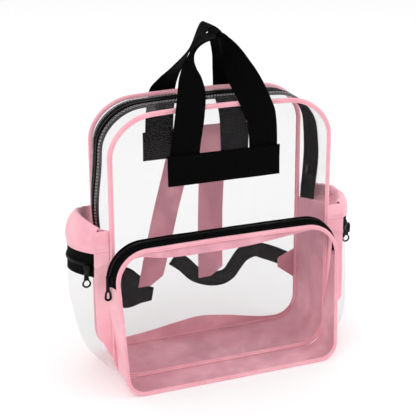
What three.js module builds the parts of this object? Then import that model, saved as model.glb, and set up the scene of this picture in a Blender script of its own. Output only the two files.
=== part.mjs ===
// Clear stadium backpack: vinyl panels, pink cloth trim, black zips and webbing.
// Millimetres, X to the right seen from the front, Y to the back, Z up.
import * as THREE from 'three';

// Main compartment
const bodyHeight = 359;
const bodyWidthBase = 306;
const bodyWidthTop = 299;
const bodyDepth = 90;
const topRadius = 57;
const topCrown = 7;
const baseRadius = 36;
const panelBulge = 3.5;
const gussetSag = 1.2;
const gussetInset = 1.4;
const frontGussetHeight = 208;
const backGussetHeight = 188;
const baseBandHeight = 22;

// Walls and clearances
const vinylWall = 1.2;
const clothWall = 1.5;
const tapeWall = 1.2;
const webbingWall = 1.6;
const seamGap = 0.3;
const pipingSize = 5.4;
const pipingDepth = 5.2;
const pipingRound = 1.2;
const floorClearance = 0.5;

// Main zip
const zipTapeWidth = 40;
const zipOpenWidth = 20;
const zipBackOffset = 14;
const mainSliderHeight = 236;

// Front pocket
const pocketHeight = 191;
const pocketWidthTop = 308;
const pocketWidthBase = 295;
const pocketDepthTop = 23;
const pocketDepthBase = 48;
const pocketTopRadius = 44;
const pocketBaseRadius = 24;
const pocketCrown = 2;
const pocketBulge = 5;
const pocketZipEnd = 142;
const facingHeight = 13;

// Side pockets
const sidePocketOut = 43;
const leftPocketBase = 11;
const rightPocketBase = 5;
const sideZipBottom = 150;
const sideZipHeight = 31;
const leftHoodRise = 43;
const rightHoodRise = 33;
const stripFoot = 38;

// Handles
const webbingWidth = 38;
const handleSpan = 104;
const patchLength = 150;
const patchHeight = 39;
const patchDrop = 60;
const backPatchRaised = 3;
const frontHandleRise = 137;
const backHandleRise = 144;
const frontHandleLean = 43;
const backHandleLean = 21;

// Shoulder straps and their webbing tails
const strapWidth = 36;
const strapLength = 225;
const strapSpacing = 39;
const leftStrapSplay = 50;
const strapSlack = 8;
const tailWidth = 22;
const tailOverFoot = 4;
const tabHeight = 84;
const tabReach = 28;
const tabLength = 48;
const tabInset = 2;
const strapShow = 6;
const strapFootCut = 26;
const strapShift = 2;

// Zip sliders and pulls
const sliderLength = 13;
const sliderWidth = 9;
const sliderDepth = 4;
const pullLength = 26;
const pullWidth = 9;
const pullThickness = 1.8;

const clearVinyl = new THREE.MeshStandardMaterial({
  color: 0xeff1f2, roughness: 0.12, metalness: 0, transparent: true, opacity: 0.35,
});
const pinkCloth = new THREE.MeshStandardMaterial({ color: 0xf4a6b4, roughness: 0.7, metalness: 0 });
const blackTape = new THREE.MeshStandardMaterial({ color: 0x0b0b0c, roughness: 0.75, metalness: 0 });
const blackWebbing = new THREE.MeshStandardMaterial({ color: 0x08080a, roughness: 0.85, metalness: 0 });
const blackMetal = new THREE.MeshStandardMaterial({ color: 0x101012, roughness: 0.4, metalness: 0.8 });

const bag = new THREE.Group();

function addPart(name, geometry, material) {
  const mesh = new THREE.Mesh(geometry, material.clone());
  mesh.name = name;
  bag.add(mesh);
}

const mix = (from, to, share) => from + (to - from) * share;
const range = (count) => Array.from({ length: count + 1 }, (unused, step) => step / count);
const degrees = (angle) => THREE.MathUtils.degToRad(angle);

// Smooth reading of one column of a table whose rows are sorted by the column named key
function reading(table, key, column, at) {
  let row = 0;
  while (row < table.length - 2 && at > table[row + 1][key]) row += 1;
  const before = table[Math.max(row - 1, 0)];
  const low = table[row];
  const high = table[row + 1];
  const after = table[Math.min(row + 2, table.length - 1)];
  const span = high[key] - low[key];
  const share = THREE.MathUtils.clamp((at - low[key]) / span, 0, 1);
  const slopeLow = (high[column] - before[column]) / (high[key] - before[key] || span);
  const slopeHigh = (after[column] - low[column]) / (after[key] - low[key] || span);
  const square = share * share;
  const cube = square * share;
  return (2 * cube - 3 * square + 1) * low[column]
    + (cube - 2 * square + share) * span * slopeLow
    + (3 * square - 2 * cube) * high[column]
    + (cube - square) * span * slopeHigh;
}

// A closed wall between two grids of points that match row by row
function wallBetween(outer, inner) {
  const rows = outer.length;
  const columns = outer[0].length;
  const positions = [];
  for (const grid of [outer, inner]) {
    for (const line of grid) for (const point of line) positions.push(point.x, point.y, point.z);
  }
  const corner = (layer, row, column) => (layer * rows + row) * columns + column;
  const faces = [];
  const quad = (a, b, c, d) => faces.push(a, b, c, a, c, d);
  for (let row = 0; row < rows - 1; row += 1) {
    for (let column = 0; column < columns - 1; column += 1) {
      quad(corner(0, row, column), corner(0, row + 1, column),
        corner(0, row + 1, column + 1), corner(0, row, column + 1));
      quad(corner(1, row, column + 1), corner(1, row + 1, column + 1),
        corner(1, row + 1, column), corner(1, row, column));
    }
    quad(corner(0, row + 1, 0), corner(0, row, 0), corner(1, row, 0), corner(1, row + 1, 0));
    const last = columns - 1;
    quad(corner(0, row, last), corner(0, row + 1, last),
      corner(1, row + 1, last), corner(1, row, last));
  }
  for (let column = 0; column < columns - 1; column += 1) {
    quad(corner(0, 0, column), corner(0, 0, column + 1),
      corner(1, 0, column + 1), corner(1, 0, column));
    const last = rows - 1;
    quad(corner(0, last, column + 1), corner(0, last, column),
      corner(1, last, column), corner(1, last, column + 1));
  }
  return outwardGeometry(positions, faces);
}

// A buffer geometry whose faces point out of the solid, whichever way round it was listed
function outwardGeometry(positions, faces) {
  const at = (index) => new THREE.Vector3().fromArray(positions, index * 3);
  let volume = 0;
  for (let face = 0; face < faces.length; face += 3) {
    volume += at(faces[face]).dot(at(faces[face + 1]).cross(at(faces[face + 2])));
  }
  if (volume < 0) faces.reverse();
  const geometry = new THREE.BufferGeometry();
  geometry.setAttribute('position', new THREE.Float32BufferAttribute(positions, 3));
  geometry.setIndex(faces);
  geometry.computeVertexNormals();
  return geometry;
}

// The same grid moved along its own normals
function offsetGrid(grid, distance) {
  const last = grid.length - 1;
  const end = grid[0].length - 1;
  return grid.map((line, row) => line.map((point, column) => {
    const along = grid[Math.min(row + 1, last)][column].clone()
      .sub(grid[Math.max(row - 1, 0)][column]);
    const across = line[Math.min(column + 1, end)].clone().sub(line[Math.max(column - 1, 0)]);
    return point.clone().addScaledVector(along.cross(across).normalize(), distance);
  }));
}

const thicken = (grid, wall) => wallBetween(grid, offsetGrid(grid, wall));

// An arch-topped outline, as wide as the sheet it describes, taken by side share -1 to 1
function archSheet(sheet) {
  const half = (height) => mix(sheet.widthBase, sheet.widthTop, height / sheet.height) / 2;
  const middle = (sheet.widthBase + sheet.widthTop) / 4;
  const roundOff = (side, radius) => {
    const past = Math.max(Math.abs(side) * middle - (middle - radius), 0);
    return radius - Math.sqrt(Math.max(radius * radius - past * past, 0));
  };
  return {
    half,
    bottom: (side) => sheet.foot + roundOff(side, sheet.baseRadius),
    top: (side) => sheet.height - roundOff(side, sheet.topRadius) - sheet.crown * side * side,
  };
}

// Side shares that follow the round corners of an arch-topped sheet
function sideShares(sheet) {
  const middle = (sheet.widthBase + sheet.widthTop) / 4;
  const corner = range(5).map((step) => (middle - sheet.topRadius
    + sheet.topRadius * Math.sin((step * Math.PI) / 2)) / middle);
  const flat = range(5).map((step) => mix(-1, 1, step) * corner[0]).slice(1, -1);
  return [...corner.map((share) => -share).reverse(), ...flat, ...corner];
}

// A sheet smaller by the same inset all round
function insetSheet(sheet, inset) {
  return {
    foot: sheet.foot + inset,
    height: sheet.height - inset,
    widthBase: sheet.widthBase - 2 * inset,
    widthTop: sheet.widthTop - 2 * inset,
    topRadius: sheet.topRadius - inset,
    baseRadius: sheet.baseRadius - inset,
    crown: sheet.crown,
  };
}

// Outline of a sheet as a closed list of points, from the left foot over the arch
function sheetOutline(sheet) {
  const left = sheet.widthBase / 2 - sheet.baseRadius;
  const arc = (side, centreHeight, radius, from, to) => range(6).map((step) => {
    const angle = degrees(mix(from, to, step));
    const z = centreHeight + radius * Math.sin(angle);
    const half = mix(sheet.widthBase, sheet.widthTop, z / sheet.height) / 2;
    const x = side * (half - radius) + radius * Math.cos(angle);
    const lift = z > sheet.height / 2 ? sheet.crown * (x / half) ** 2 * Math.sin(angle) : 0;
    return new THREE.Vector2(x, z - lift);
  });
  const topCentre = sheet.height - sheet.topRadius;
  const baseCentre = sheet.foot + sheet.baseRadius;
  const start = sheet.widthTop / 2 - sheet.topRadius;
  const roof = range(6).slice(1, -1).map((step) => {
    const x = mix(start, -start, step);
    return new THREE.Vector2(x, sheet.height - sheet.crown * ((2 * x) / sheet.widthTop) ** 2);
  });
  return [
    ...arc(1, baseCentre, sheet.baseRadius, -90, 0),
    ...arc(1, topCentre, sheet.topRadius, 0, 90),
    ...roof,
    ...arc(-1, topCentre, sheet.topRadius, 90, 180),
    ...arc(-1, baseCentre, sheet.baseRadius, 180, 270),
    new THREE.Vector2(-left / 3, sheet.foot),
    new THREE.Vector2(left / 3, sheet.foot),
  ];
}

// A rounded ring of piping round a sheet, standing in the XZ plane and centred on y = 0
function pipingRing(sheet) {
  const shape = new THREE.Shape(sheetOutline(insetSheet(sheet, pipingRound)));
  shape.holes.push(new THREE.Path(sheetOutline(insetSheet(sheet, pipingSize - pipingRound))));
  const geometry = new THREE.ExtrudeGeometry(shape, {
    depth: pipingDepth - 2 * pipingRound,
    bevelSize: pipingRound,
    bevelThickness: pipingRound,
    bevelSegments: 1,
    curveSegments: 1,
  });
  geometry.translate(0, 0, pipingRound - pipingDepth / 2);
  geometry.rotateX(Math.PI / 2);
  return geometry;
}

// A sheet of cloth or vinyl that fills an arch-topped outline; place gives y at (x, z, side, rise)
function panelGrid(sheet, rows, place) {
  const arch = archSheet(sheet);
  return sideShares(sheet).map((side) => range(rows).map((rise) => {
    const z = mix(arch.bottom(side), arch.top(side), rise);
    const x = side * arch.half(z);
    return new THREE.Vector3(x, place(x, z, side, rise), z);
  }));
}

const pillow = (side, rise) => Math.max(1 - side * side, 0) * Math.sin(Math.PI * rise);

const bodySheet = {
  foot: floorClearance,
  height: bodyHeight,
  widthBase: bodyWidthBase,
  widthTop: bodyWidthTop,
  topRadius,
  baseRadius,
  crown: topCrown,
};
const panelSheet = insetSheet(bodySheet, pipingSize + seamGap);
const panelArch = archSheet(panelSheet);

// Height above the base plane of the outer face of the front or back sheet, as a bulge
function panelSwell(x, z) {
  const side = x / panelArch.half(z);
  const bottom = panelArch.bottom(side);
  const rise = (z - bottom) / (panelArch.top(side) - bottom);
  return bodyDepth / 2 + vinylWall / 2 + panelBulge * pillow(side, THREE.MathUtils.clamp(rise, 0, 1));
}

function mainPanel(facing) {
  const outer = panelGrid(panelSheet, 8, (x, z) => facing * panelSwell(x, z));
  const inner = panelGrid(panelSheet, 8, (x, z) => facing * (panelSwell(x, z) - vinylWall));
  return wallBetween(outer, inner);
}

addPart('front_panel', mainPanel(-1), clearVinyl);
addPart('back_panel', mainPanel(1), clearVinyl);
addPart('front_piping', pipingRing(bodySheet).translate(0, -bodyDepth / 2, 0), pinkCloth);
addPart('back_piping', pipingRing(bodySheet).translate(0, bodyDepth / 2, 0), pinkCloth);

// Half depth of the gusset between the two rings of piping
const gussetHalf = (bodyDepth - pipingDepth) / 2 - seamGap;

// How far the gusset lies inside the body's outline at depth y
const sideInset = (y) => gussetInset + gussetSag * (1 - (y / gussetHalf) ** 2);

// Height where the pink lower gusset ends and the arch begins
const gussetTop = (y) => mix(frontGussetHeight, backGussetHeight, (y + gussetHalf) / (2 * gussetHalf));

// Right half of the arch or of the base as points in the XZ plane, inset from the body's outline
function archHalf(inset, footHeight) {
  const sheet = insetSheet(bodySheet, inset);
  const arch = archSheet(sheet);
  const spring = sheet.height - sheet.topRadius - sheet.crown;
  const sides = sideShares(sheet).filter((side) => side >= 0 && side < 1);
  const side = range(2).map((step) => mix(footHeight, spring, step));
  return [
    ...sides.map((share) => new THREE.Vector3(share * arch.half(arch.top(share)), 0, arch.top(share))),
    ...side.reverse().map((z) => new THREE.Vector3(arch.half(z), 0, z)),
  ];
}

function mirrored(half) {
  const left = half.map((point) => new THREE.Vector3(-point.x, point.y, point.z)).reverse();
  return half[0].x < 0.01 ? [...left, ...half.slice(1)] : [...left, ...half];
}

// A band over the arch between two depths, outer face inset by the gusset's own inset plus extra
function archBand(fromY, toY, extra, wall) {
  const lines = (deeper) => range(2).map((step) => {
    const y = mix(fromY, toY, step);
    const inset = sideInset(y) + extra + deeper;
    return mirrored(archHalf(inset, gussetTop(y) + seamGap)).map((point) => point.setY(y));
  });
  return wallBetween(lines(0), lines(wall));
}

const zipFront = zipBackOffset - zipOpenWidth / 2;
const zipBack = zipBackOffset + zipOpenWidth / 2;
addPart('gusset_front_strip', archBand(-gussetHalf, zipFront, 0, vinylWall), clearVinyl);
addPart('gusset_back_strip', archBand(zipBack, gussetHalf, 0, vinylWall), clearVinyl);
addPart('main_zip', archBand(zipBackOffset - zipTapeWidth / 2, zipBackOffset + zipTapeWidth / 2,
  vinylWall + seamGap, tapeWall), blackTape);

// Right half of the pink lower gusset as points in the XZ plane, from the base's middle up
function baseHalf(y, wall) {
  const inset = sideInset(y);
  const radius = baseRadius - wall;
  const half = (z) => mix(bodyWidthBase, bodyWidthTop, z / bodyHeight) / 2 - inset - wall;
  const flat = half(baseRadius) - radius;
  const corner = range(6).map((step) => {
    const angle = degrees(mix(-90, 0, step));
    return new THREE.Vector3(flat + radius * Math.cos(angle), y, baseRadius + radius * Math.sin(angle));
  });
  const side = range(4).slice(1).map((step) => {
    const z = mix(baseRadius, gussetTop(y), step);
    return new THREE.Vector3(half(z), y, z);
  });
  return [...range(2).slice(0, 2).map((step) => new THREE.Vector3(flat * step, y, wall)), ...corner, ...side];
}

const gussetRows = range(4).map((step) => mix(-gussetHalf, gussetHalf, step));
addPart('lower_gusset', wallBetween(
  gussetRows.map((y) => mirrored(baseHalf(y, 0))),
  gussetRows.map((y) => mirrored(baseHalf(y, clothWall))),
), pinkCloth);

// Pink hem along the bottom of the back sheet, inside it; its height waves along the sheet
const bandWave = [
  { side: -0.93, height: 0.3 },
  { side: -0.75, height: 0.42 },
  { side: -0.5, height: 0.58 },
  { side: -0.22, height: 0.86 },
  { side: 0, height: 1 },
  { side: 0.26, height: 0.78 },
  { side: 0.5, height: 0.42 },
  { side: 0.7, height: 0.18 },
  { side: 0.93, height: 0.16 },
];

function baseBand() {
  const arch = archSheet(panelSheet);
  const lines = (back) => [0, 1].map((top) => range(14).map((step) => {
    const side = mix(bandWave[0].side, -bandWave[0].side, step);
    const z = arch.bottom(side) + top * baseBandHeight * reading(bandWave, 'side', 'height', side);
    const x = side * arch.half(z);
    return new THREE.Vector3(x, panelSwell(x, z) - vinylWall - seamGap - back, z);
  }));
  return wallBetween(lines(0), lines(clothWall));
}
addPart('back_base_band', baseBand(), pinkCloth);

// Front pocket: its face leans back from the base to the zip
const pocketSheet = {
  foot: floorClearance,
  height: pocketHeight,
  widthBase: pocketWidthBase,
  widthTop: pocketWidthTop,
  topRadius: pocketTopRadius,
  baseRadius: pocketBaseRadius,
  crown: pocketCrown,
};
const pocketDepth = (z) => mix(pocketDepthBase, pocketDepthTop, z / pocketHeight);
const pocketPlane = (z) => -bodyDepth / 2 - pocketDepth(z);
const pocketSwell = (z, side, rise) => pocketPlane(z) - vinylWall / 2 - pocketBulge * pillow(side, rise);

function lean(geometry) {
  const position = geometry.getAttribute('position');
  for (let index = 0; index < position.count; index += 1) {
    position.setY(index, position.getY(index) + pocketPlane(position.getZ(index)));
  }
  return geometry;
}

const faceSheet = insetSheet(pocketSheet, pipingSize + seamGap);
addPart('pocket_face', wallBetween(
  panelGrid(faceSheet, 6, (x, z, side, rise) => pocketSwell(z, side, rise)),
  panelGrid(faceSheet, 6, (x, z, side, rise) => pocketSwell(z, side, rise) + vinylWall),
), clearVinyl);
addPart('pocket_piping', lean(pipingRing(pocketSheet)), pinkCloth);

// Half width of a sheet at a height, round its upper corner
function halfAt(sheet, z) {
  const past = Math.max(z - (sheet.height - sheet.topRadius - sheet.crown), 0);
  return archSheet(sheet).half(z) - sheet.topRadius + Math.sqrt(sheet.topRadius ** 2 - past ** 2);
}

// Right half of the pocket's arch, inset, from the middle of its top down to the zip's end
function pocketTopHalf(inset) {
  const sheet = insetSheet(pocketSheet, inset);
  const arch = archSheet(sheet);
  const points = sideShares(sheet)
    .filter((side) => side >= 0 && arch.top(side) > pocketZipEnd + 2)
    .map((side) => new THREE.Vector3(side * arch.half(arch.top(side)), 0, arch.top(side)));
  return [...points, new THREE.Vector3(halfAt(sheet, pocketZipEnd), 0, pocketZipEnd)];
}

// Depth clear of the sheet and of its piping, for what lies on the front or the back
const clearOfBody = (x, z) => Math.max((bodyDepth + pipingDepth) / 2, panelSwell(x, z)) + seamGap;
const pocketFrontY = (z) => pocketPlane(z) + pipingDepth / 2 + seamGap;

// A band round the pocket between the body and the face; half gives the right half's points
function pocketBand(half, wall) {
  const lines = (deeper) => range(2).map((step) => mirrored(half(gussetInset + deeper)).map((point) => {
    const y = mix(-clearOfBody(point.x, point.z), pocketFrontY(point.z), step);
    return new THREE.Vector3(point.x, y, point.z);
  }));
  return wallBetween(lines(0), lines(wall));
}

function pocketBaseHalf(inset) {
  const foot = inset - gussetInset;
  const radius = pocketBaseRadius - foot;
  const half = (z) => mix(pocketWidthBase, pocketWidthTop, z / pocketHeight) / 2 - inset;
  const flat = half(pocketBaseRadius) - radius;
  const corner = range(5).map((step) => {
    const angle = degrees(mix(-90, 0, step));
    return new THREE.Vector3(flat + radius * Math.cos(angle), 0,
      foot + radius + radius * Math.sin(angle));
  });
  const side = range(3).slice(1).map((step) => mix(pocketBaseRadius, pocketZipEnd - seamGap, step));
  return [
    new THREE.Vector3(0, 0, foot),
    ...corner,
    ...side.map((z) => new THREE.Vector3(half(z), 0, z)),
  ];
}
addPart('pocket_zip', pocketBand(pocketTopHalf, tapeWall), blackTape);
addPart('pocket_gusset', pocketBand(pocketBaseHalf, clothWall), pinkCloth);

// Pink facing inside the face, below the zip; drop is how far it hangs, as a share of its height
const facingDrop = [
  { side: -0.87, drop: 0.1 },
  { side: -0.6, drop: 0.84 },
  { side: -0.2, drop: 1 },
  { side: 0.2, drop: 0.9 },
  { side: 0.55, drop: 0.5 },
  { side: 0.87, drop: 0.1 },
];

function pocketFacing() {
  const arch = archSheet(faceSheet);
  const lines = (back) => [0, 1].map((lower) => range(16).map((step) => {
    const side = mix(facingDrop[0].side, -facingDrop[0].side, step);
    const drop = reading(facingDrop, 'side', 'drop', side) * facingHeight;
    const z = arch.top(side) - lower * drop;
    const rise = (z - arch.bottom(side)) / (arch.top(side) - arch.bottom(side));
    return new THREE.Vector3(side * arch.half(z), pocketSwell(z, side, rise) + vinylWall + seamGap + back, z);
  }));
  return wallBetween(lines(0), lines(clothWall));
}
addPart('pocket_facing', pocketFacing(), pinkCloth);

// A zip slider and its pull, facing the way its yaw turns it; spot is on the zip's outer face
function addSlider(name, spot, yaw) {
  const body = new THREE.Shape();
  const half = sliderWidth / 2;
  body.moveTo(-half * 0.6, -sliderLength / 2);
  body.lineTo(half * 0.6, -sliderLength / 2);
  body.lineTo(half, sliderLength * 0.2);
  body.lineTo(half * 0.7, sliderLength / 2);
  body.lineTo(-half * 0.7, sliderLength / 2);
  body.lineTo(-half, sliderLength * 0.2);
  const pull = new THREE.Shape();
  const narrow = pullWidth * 0.32;
  pull.moveTo(-narrow, 0);
  pull.lineTo(narrow, 0);
  pull.lineTo(pullWidth / 2, -pullLength + pullWidth / 2);
  pull.absarc(0, -pullLength + pullWidth / 2, pullWidth / 2, 0, -Math.PI, true);
  const eye = new THREE.Path();
  eye.absarc(0, -pullLength + pullWidth / 2, pullWidth * 0.3, 0, Math.PI * 2, false);
  pull.holes.push(eye);
  const bodySolid = new THREE.ExtrudeGeometry(body, { depth: sliderDepth, bevelEnabled: false });
  const pullSolid = new THREE.ExtrudeGeometry(pull, {
    depth: pullThickness, bevelEnabled: false, curveSegments: 5,
  });
  pullSolid.translate(0, sliderLength * 0.3, sliderDepth + seamGap);
  const nodes = { slider: bodySolid, pull: pullSolid };
  for (const [part, solid] of Object.entries(nodes)) {
    solid.rotateX(Math.PI / 2);
    solid.rotateZ(yaw);
    solid.translate(spot.x, spot.y, spot.z);
    addPart(`${name}_${part}`, solid, blackMetal);
  }
}

// Side pockets, sewn to the gusset: a clear bag under a zip, with a gathered cloth hood on top

// How far the pocket stands out along its depth, from the front seam to the back seam
const pocketPlan = {
  left: [
    { along: 0, out: 0.42 },
    { along: 0.12, out: 0.66 },
    { along: 0.28, out: 0.88 },
    { along: 0.45, out: 1 },
    { along: 0.62, out: 0.99 },
    { along: 0.8, out: 0.78 },
    { along: 0.93, out: 0.36 },
    { along: 1, out: 0.01 },
  ],
  right: [
    { along: 0, out: 0.52 },
    { along: 0.12, out: 0.82 },
    { along: 0.28, out: 1 },
    { along: 0.45, out: 1.01 },
    { along: 0.62, out: 0.94 },
    { along: 0.8, out: 0.72 },
    { along: 0.93, out: 0.34 },
    { along: 1, out: 0.01 },
  ],
};

// How far the clear bag stands out at each height below its zip
const bagProfile = {
  left: [
    { rise: 0, out: 0.14 },
    { rise: 0.05, out: 0.34 },
    { rise: 0.2, out: 0.6 },
    { rise: 0.36, out: 0.76 },
    { rise: 0.52, out: 0.88 },
    { rise: 0.74, out: 0.98 },
    { rise: 1, out: 1.02 },
  ],
  right: [
    { rise: 0, out: 0.72 },
    { rise: 0.07, out: 0.95 },
    { rise: 0.16, out: 1.01 },
    { rise: 0.3, out: 1.04 },
    { rise: 0.55, out: 1.03 },
    { rise: 0.8, out: 1 },
    { rise: 1, out: 0.98 },
  ],
};

// Section of the hood from its seam on the gusset, over a shallow trough and the rim, to the zip
const hoodSection = [
  { out: 0.01, rim: 0, fall: 1 },
  { out: 0.2, rim: -0.1, fall: 0.72 },
  { out: 0.4, rim: 0.5, fall: 0.4 },
  { out: 0.6, rim: 0.95, fall: 0.05 },
  { out: 0.8, rim: 0.9, fall: 0 },
  { out: 0.95, rim: 0.62, fall: 0 },
  { out: 1.01, rim: 0.3, fall: 0 },
  { out: 0.99, rim: 0, fall: 0 },
];

const sideZipTop = sideZipBottom + sideZipHeight;
const rimSag = 0.18;
const pocketBase = { left: leftPocketBase, right: rightPocketBase };
const hoodRise = { left: leftHoodRise, right: rightHoodRise };
const pocketDepthSteps = range(9);
const sideY = (along) => mix(-gussetHalf + seamGap, gussetHalf - seamGap, along);

// Outer face of the lower gusset at a height, as a distance from the middle plane
function gussetSide(z, y) {
  const half = mix(bodyWidthBase, bodyWidthTop, z / bodyHeight) / 2 - sideInset(y);
  const below = Math.max(baseRadius - z, 0);
  return half - baseRadius + Math.sqrt(Math.max(baseRadius ** 2 - below ** 2, 0));
}

// Outer side of the piping at a height, as a distance from the middle plane
const bodySide = (z) => mix(bodyWidthBase, bodyWidthTop, z / bodyHeight) / 2;

// Where each side zip's slider stands, along the zip and up its tape
const sliderPlace = {
  left: { along: 0.07, lift: 0.35 },
  right: { along: 0.3, lift: 0.2 },
};

// Gap that lets a wall of the pocket lie against the gusset
const againstGusset = clothWall + seamGap;

// A side pocket's wall, thickened outwards but kept between its front and back seams
function pocketWall(grid, distance) {
  const outer = offsetGrid(grid, distance);
  for (const line of outer) {
    for (const point of line) point.setY(THREE.MathUtils.clamp(point.y, sideY(0), sideY(1)));
  }
  return wallBetween(grid, outer);
}

function sidePocket(name, hand) {
  const plan = (along) => sidePocketOut * reading(pocketPlan[name], 'along', 'out', along);
  const skin = (along, z, out) => new THREE.Vector3(
    hand * (gussetSide(z, sideY(along)) + againstGusset + plan(along) * out),
    sideY(along),
    z,
  );
  const bagHeights = range(6).map((step) => step ** 1.25);
  const bagGrid = [
    pocketDepthSteps.map((along) => skin(along, pocketBase[name], 0)),
    ...bagHeights.map((rise) => pocketDepthSteps.map((along) => skin(
      along,
      mix(pocketBase[name], sideZipBottom, rise),
      reading(bagProfile[name], 'rise', 'out', rise),
    ))),
  ];
  addPart(`${name}_pocket_body`, pocketWall(bagGrid, -hand * vinylWall), clearVinyl);

  const zipOut = bagProfile[name][bagProfile[name].length - 1].out;
  const zipGrid = range(2).map((rise) => pocketDepthSteps.map((along) => skin(
    along,
    mix(sideZipBottom + seamGap, sideZipTop - seamGap, rise),
    mix(zipOut, hoodSection[hoodSection.length - 1].out, rise),
  )));
  addPart(`${name}_pocket_zip`, pocketWall(zipGrid, -hand * tapeWall), blackTape);

  const seamTop = (along) => gussetTop(sideY(along)) - clothWall;
  const rimTop = (along) => sideZipTop + hoodRise[name] * (1 - rimSag * (1 - Math.sin(Math.PI * along)));
  const hoodGrid = hoodSection.map((row) => pocketDepthSteps.map((along) => {
    const rim = sideZipTop + (rimTop(along) - sideZipTop) * row.rim;
    return skin(along, mix(rim, seamTop(along), row.fall), row.out);
  }));
  addPart(`${name}_pocket_hood`, pocketWall(hoodGrid, -hand * clothWall), pinkCloth);

  // Front strip: a flat cloth gusset from the body's front seam to the pocket's outer edge
  const stripY = (back) => -gussetHalf + (back ? 0 : -clothWall);
  const stripRows = [
    ...range(5).map((step) => {
      const rise = mix(stripFoot, sideZipBottom, step);
      const share = rise / sideZipBottom;
      return { z: rise, out: reading(bagProfile[name], 'rise', 'out', share) * Math.min(step * 4, 1) };
    }),
    { z: sideZipTop, out: 0.98 },
    { z: mix(sideZipTop, rimTop(0), 0.3), out: 0.98 },
    { z: mix(sideZipTop, rimTop(0), 0.62), out: 0.94 },
    { z: mix(sideZipTop, rimTop(0), 0.84), out: 0.8 },
  ];
  const stripGrid = (back) => stripRows.map((row) => [0, 1].map((edge) => new THREE.Vector3(
    hand * (bodySide(row.z) + seamGap + edge * (clothWall + plan(0) * row.out)),
    stripY(back),
    row.z,
  )));
  addPart(`${name}_pocket_strip`, wallBetween(stripGrid(false), stripGrid(true)), pinkCloth);

  // Zip slider near the front end of the side zip, flat against the tape
  const { along, lift } = sliderPlace[name];
  const step = 0.04;
  const slope = Math.atan2((plan(along + step) - plan(along - step)) * zipOut,
    sideY(along + step) - sideY(along - step));
  const onTape = skin(along, sideZipBottom + sideZipHeight * lift, zipOut);
  const stand = tapeWall + 2 * seamGap;
  const outward = new THREE.Vector3(hand * Math.cos(slope), -Math.sin(slope), 0);
  addSlider(`${name}_pocket`, onTape.addScaledVector(outward, stand), hand * (Math.PI / 2 - slope));
}
sidePocket('left', -1);
sidePocket('right', 1);

// Slider of the front pocket's zip, at its left end
const pocketSliderZ = pocketZipEnd + sliderLength / 2 + 1;
addSlider('pocket_zip', {
  x: -archSheet(insetSheet(pocketSheet, gussetInset)).half(pocketSliderZ) - seamGap,
  y: mix(-clearOfBody(bodyWidthBase / 2, pocketSliderZ), pocketFrontY(pocketSliderZ), 0.5),
  z: pocketSliderZ,
}, -Math.PI / 2);

// Slider of the main zip, at its right end, where the front view hides it
addSlider('main_zip', {
  x: bodySide(mainSliderHeight) - sideInset(zipBackOffset) - vinylWall,
  y: zipBackOffset,
  z: mainSliderHeight,
}, Math.PI / 2);

// Carrying handles and shoulder straps, all of flat webbing or cloth tape

// A ribbon through sections that each have a centre and a direction across the ribbon
function ribbon(sections, width, wall) {
  const grid = sections.map((section, index) => {
    const next = sections[Math.min(index + 1, sections.length - 1)].centre;
    const last = sections[Math.max(index - 1, 0)].centre;
    const along = next.clone().sub(last).normalize();
    const across = section.across.clone().addScaledVector(along, -section.across.dot(along)).normalize();
    const half = (width * (section.spread || 1)) / 2;
    return [-half, half].map((reach) => section.centre.clone().addScaledVector(across, reach));
  });
  return thicken(grid, wall);
}

// Each handle from its left foot over the top to its right foot: rise, span and lean are shares of
// the handle's height, half its span and its lean; twist is the webbing's turn in degrees
const handleShape = {
  front: [
    { rise: -0.27, span: -1.02, lean: 0, twist: 0 },
    { rise: 0.03, span: -0.99, lean: 0, twist: 0 },
    { rise: 0.3, span: -0.92, lean: -0.1, twist: 1 },
    { rise: 0.53, span: -0.84, lean: -0.05, twist: 8 },
    { rise: 0.68, span: -0.78, lean: 0.16, twist: 30 },
    { rise: 0.79, span: -0.7, lean: 0.36, twist: 52 },
    { rise: 0.88, span: -0.58, lean: 0.55, twist: 68 },
    { rise: 0.95, span: -0.38, lean: 0.72, twist: 80 },
    { rise: 0.99, span: -0.14, lean: 0.82, twist: 87 },
    { rise: 0.995, span: 0.06, lean: 0.82, twist: 88 },
    { rise: 0.93, span: 0.2, lean: 0.6, twist: 78 },
    { rise: 0.82, span: 0.33, lean: 0.38, twist: 62 },
    { rise: 0.7, span: 0.45, lean: 0.18, twist: 46 },
    { rise: 0.54, span: 0.62, lean: -0.12, twist: 26 },
    { rise: 0.4, span: 0.78, lean: -0.17, twist: 10 },
    { rise: 0.28, span: 0.92, lean: -0.1, twist: 3 },
    { rise: 0.03, span: 1.02, lean: 0, twist: 0 },
    { rise: -0.27, span: 1.02, lean: 0, twist: 0 },
  ],
  back: [
    { rise: -0.24, span: -1.04, lean: 0, twist: 0 },
    { rise: 0.03, span: -1.03, lean: 0, twist: 0 },
    { rise: 0.25, span: -0.97, lean: -0.15, twist: 3 },
    { rise: 0.4, span: -0.85, lean: -0.35, twist: 14 },
    { rise: 0.52, span: -0.71, lean: -0.1, twist: 30 },
    { rise: 0.64, span: -0.53, lean: 0.36, twist: 46 },
    { rise: 0.77, span: -0.31, lean: 0.7, twist: 62 },
    { rise: 0.9, span: -0.1, lean: 0.94, twist: 78 },
    { rise: 0.985, span: 0.06, lean: 1.05, twist: 87 },
    { rise: 0.995, span: 0.16, lean: 1.06, twist: 89 },
    { rise: 0.93, span: 0.31, lean: 1.02, twist: 80 },
    { rise: 0.8, span: 0.51, lean: 0.84, twist: 66 },
    { rise: 0.66, span: 0.68, lean: 0.5, twist: 50 },
    { rise: 0.5, span: 0.82, lean: -0.1, twist: 28 },
    { rise: 0.34, span: 0.88, lean: -0.3, twist: 9 },
    { rise: 0.18, span: 0.96, lean: -0.1, twist: 3 },
    { rise: 0.03, span: 0.99, lean: 0, twist: 0 },
    { rise: -0.24, span: 1.02, lean: 0, twist: 0 },
  ],
};

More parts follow.
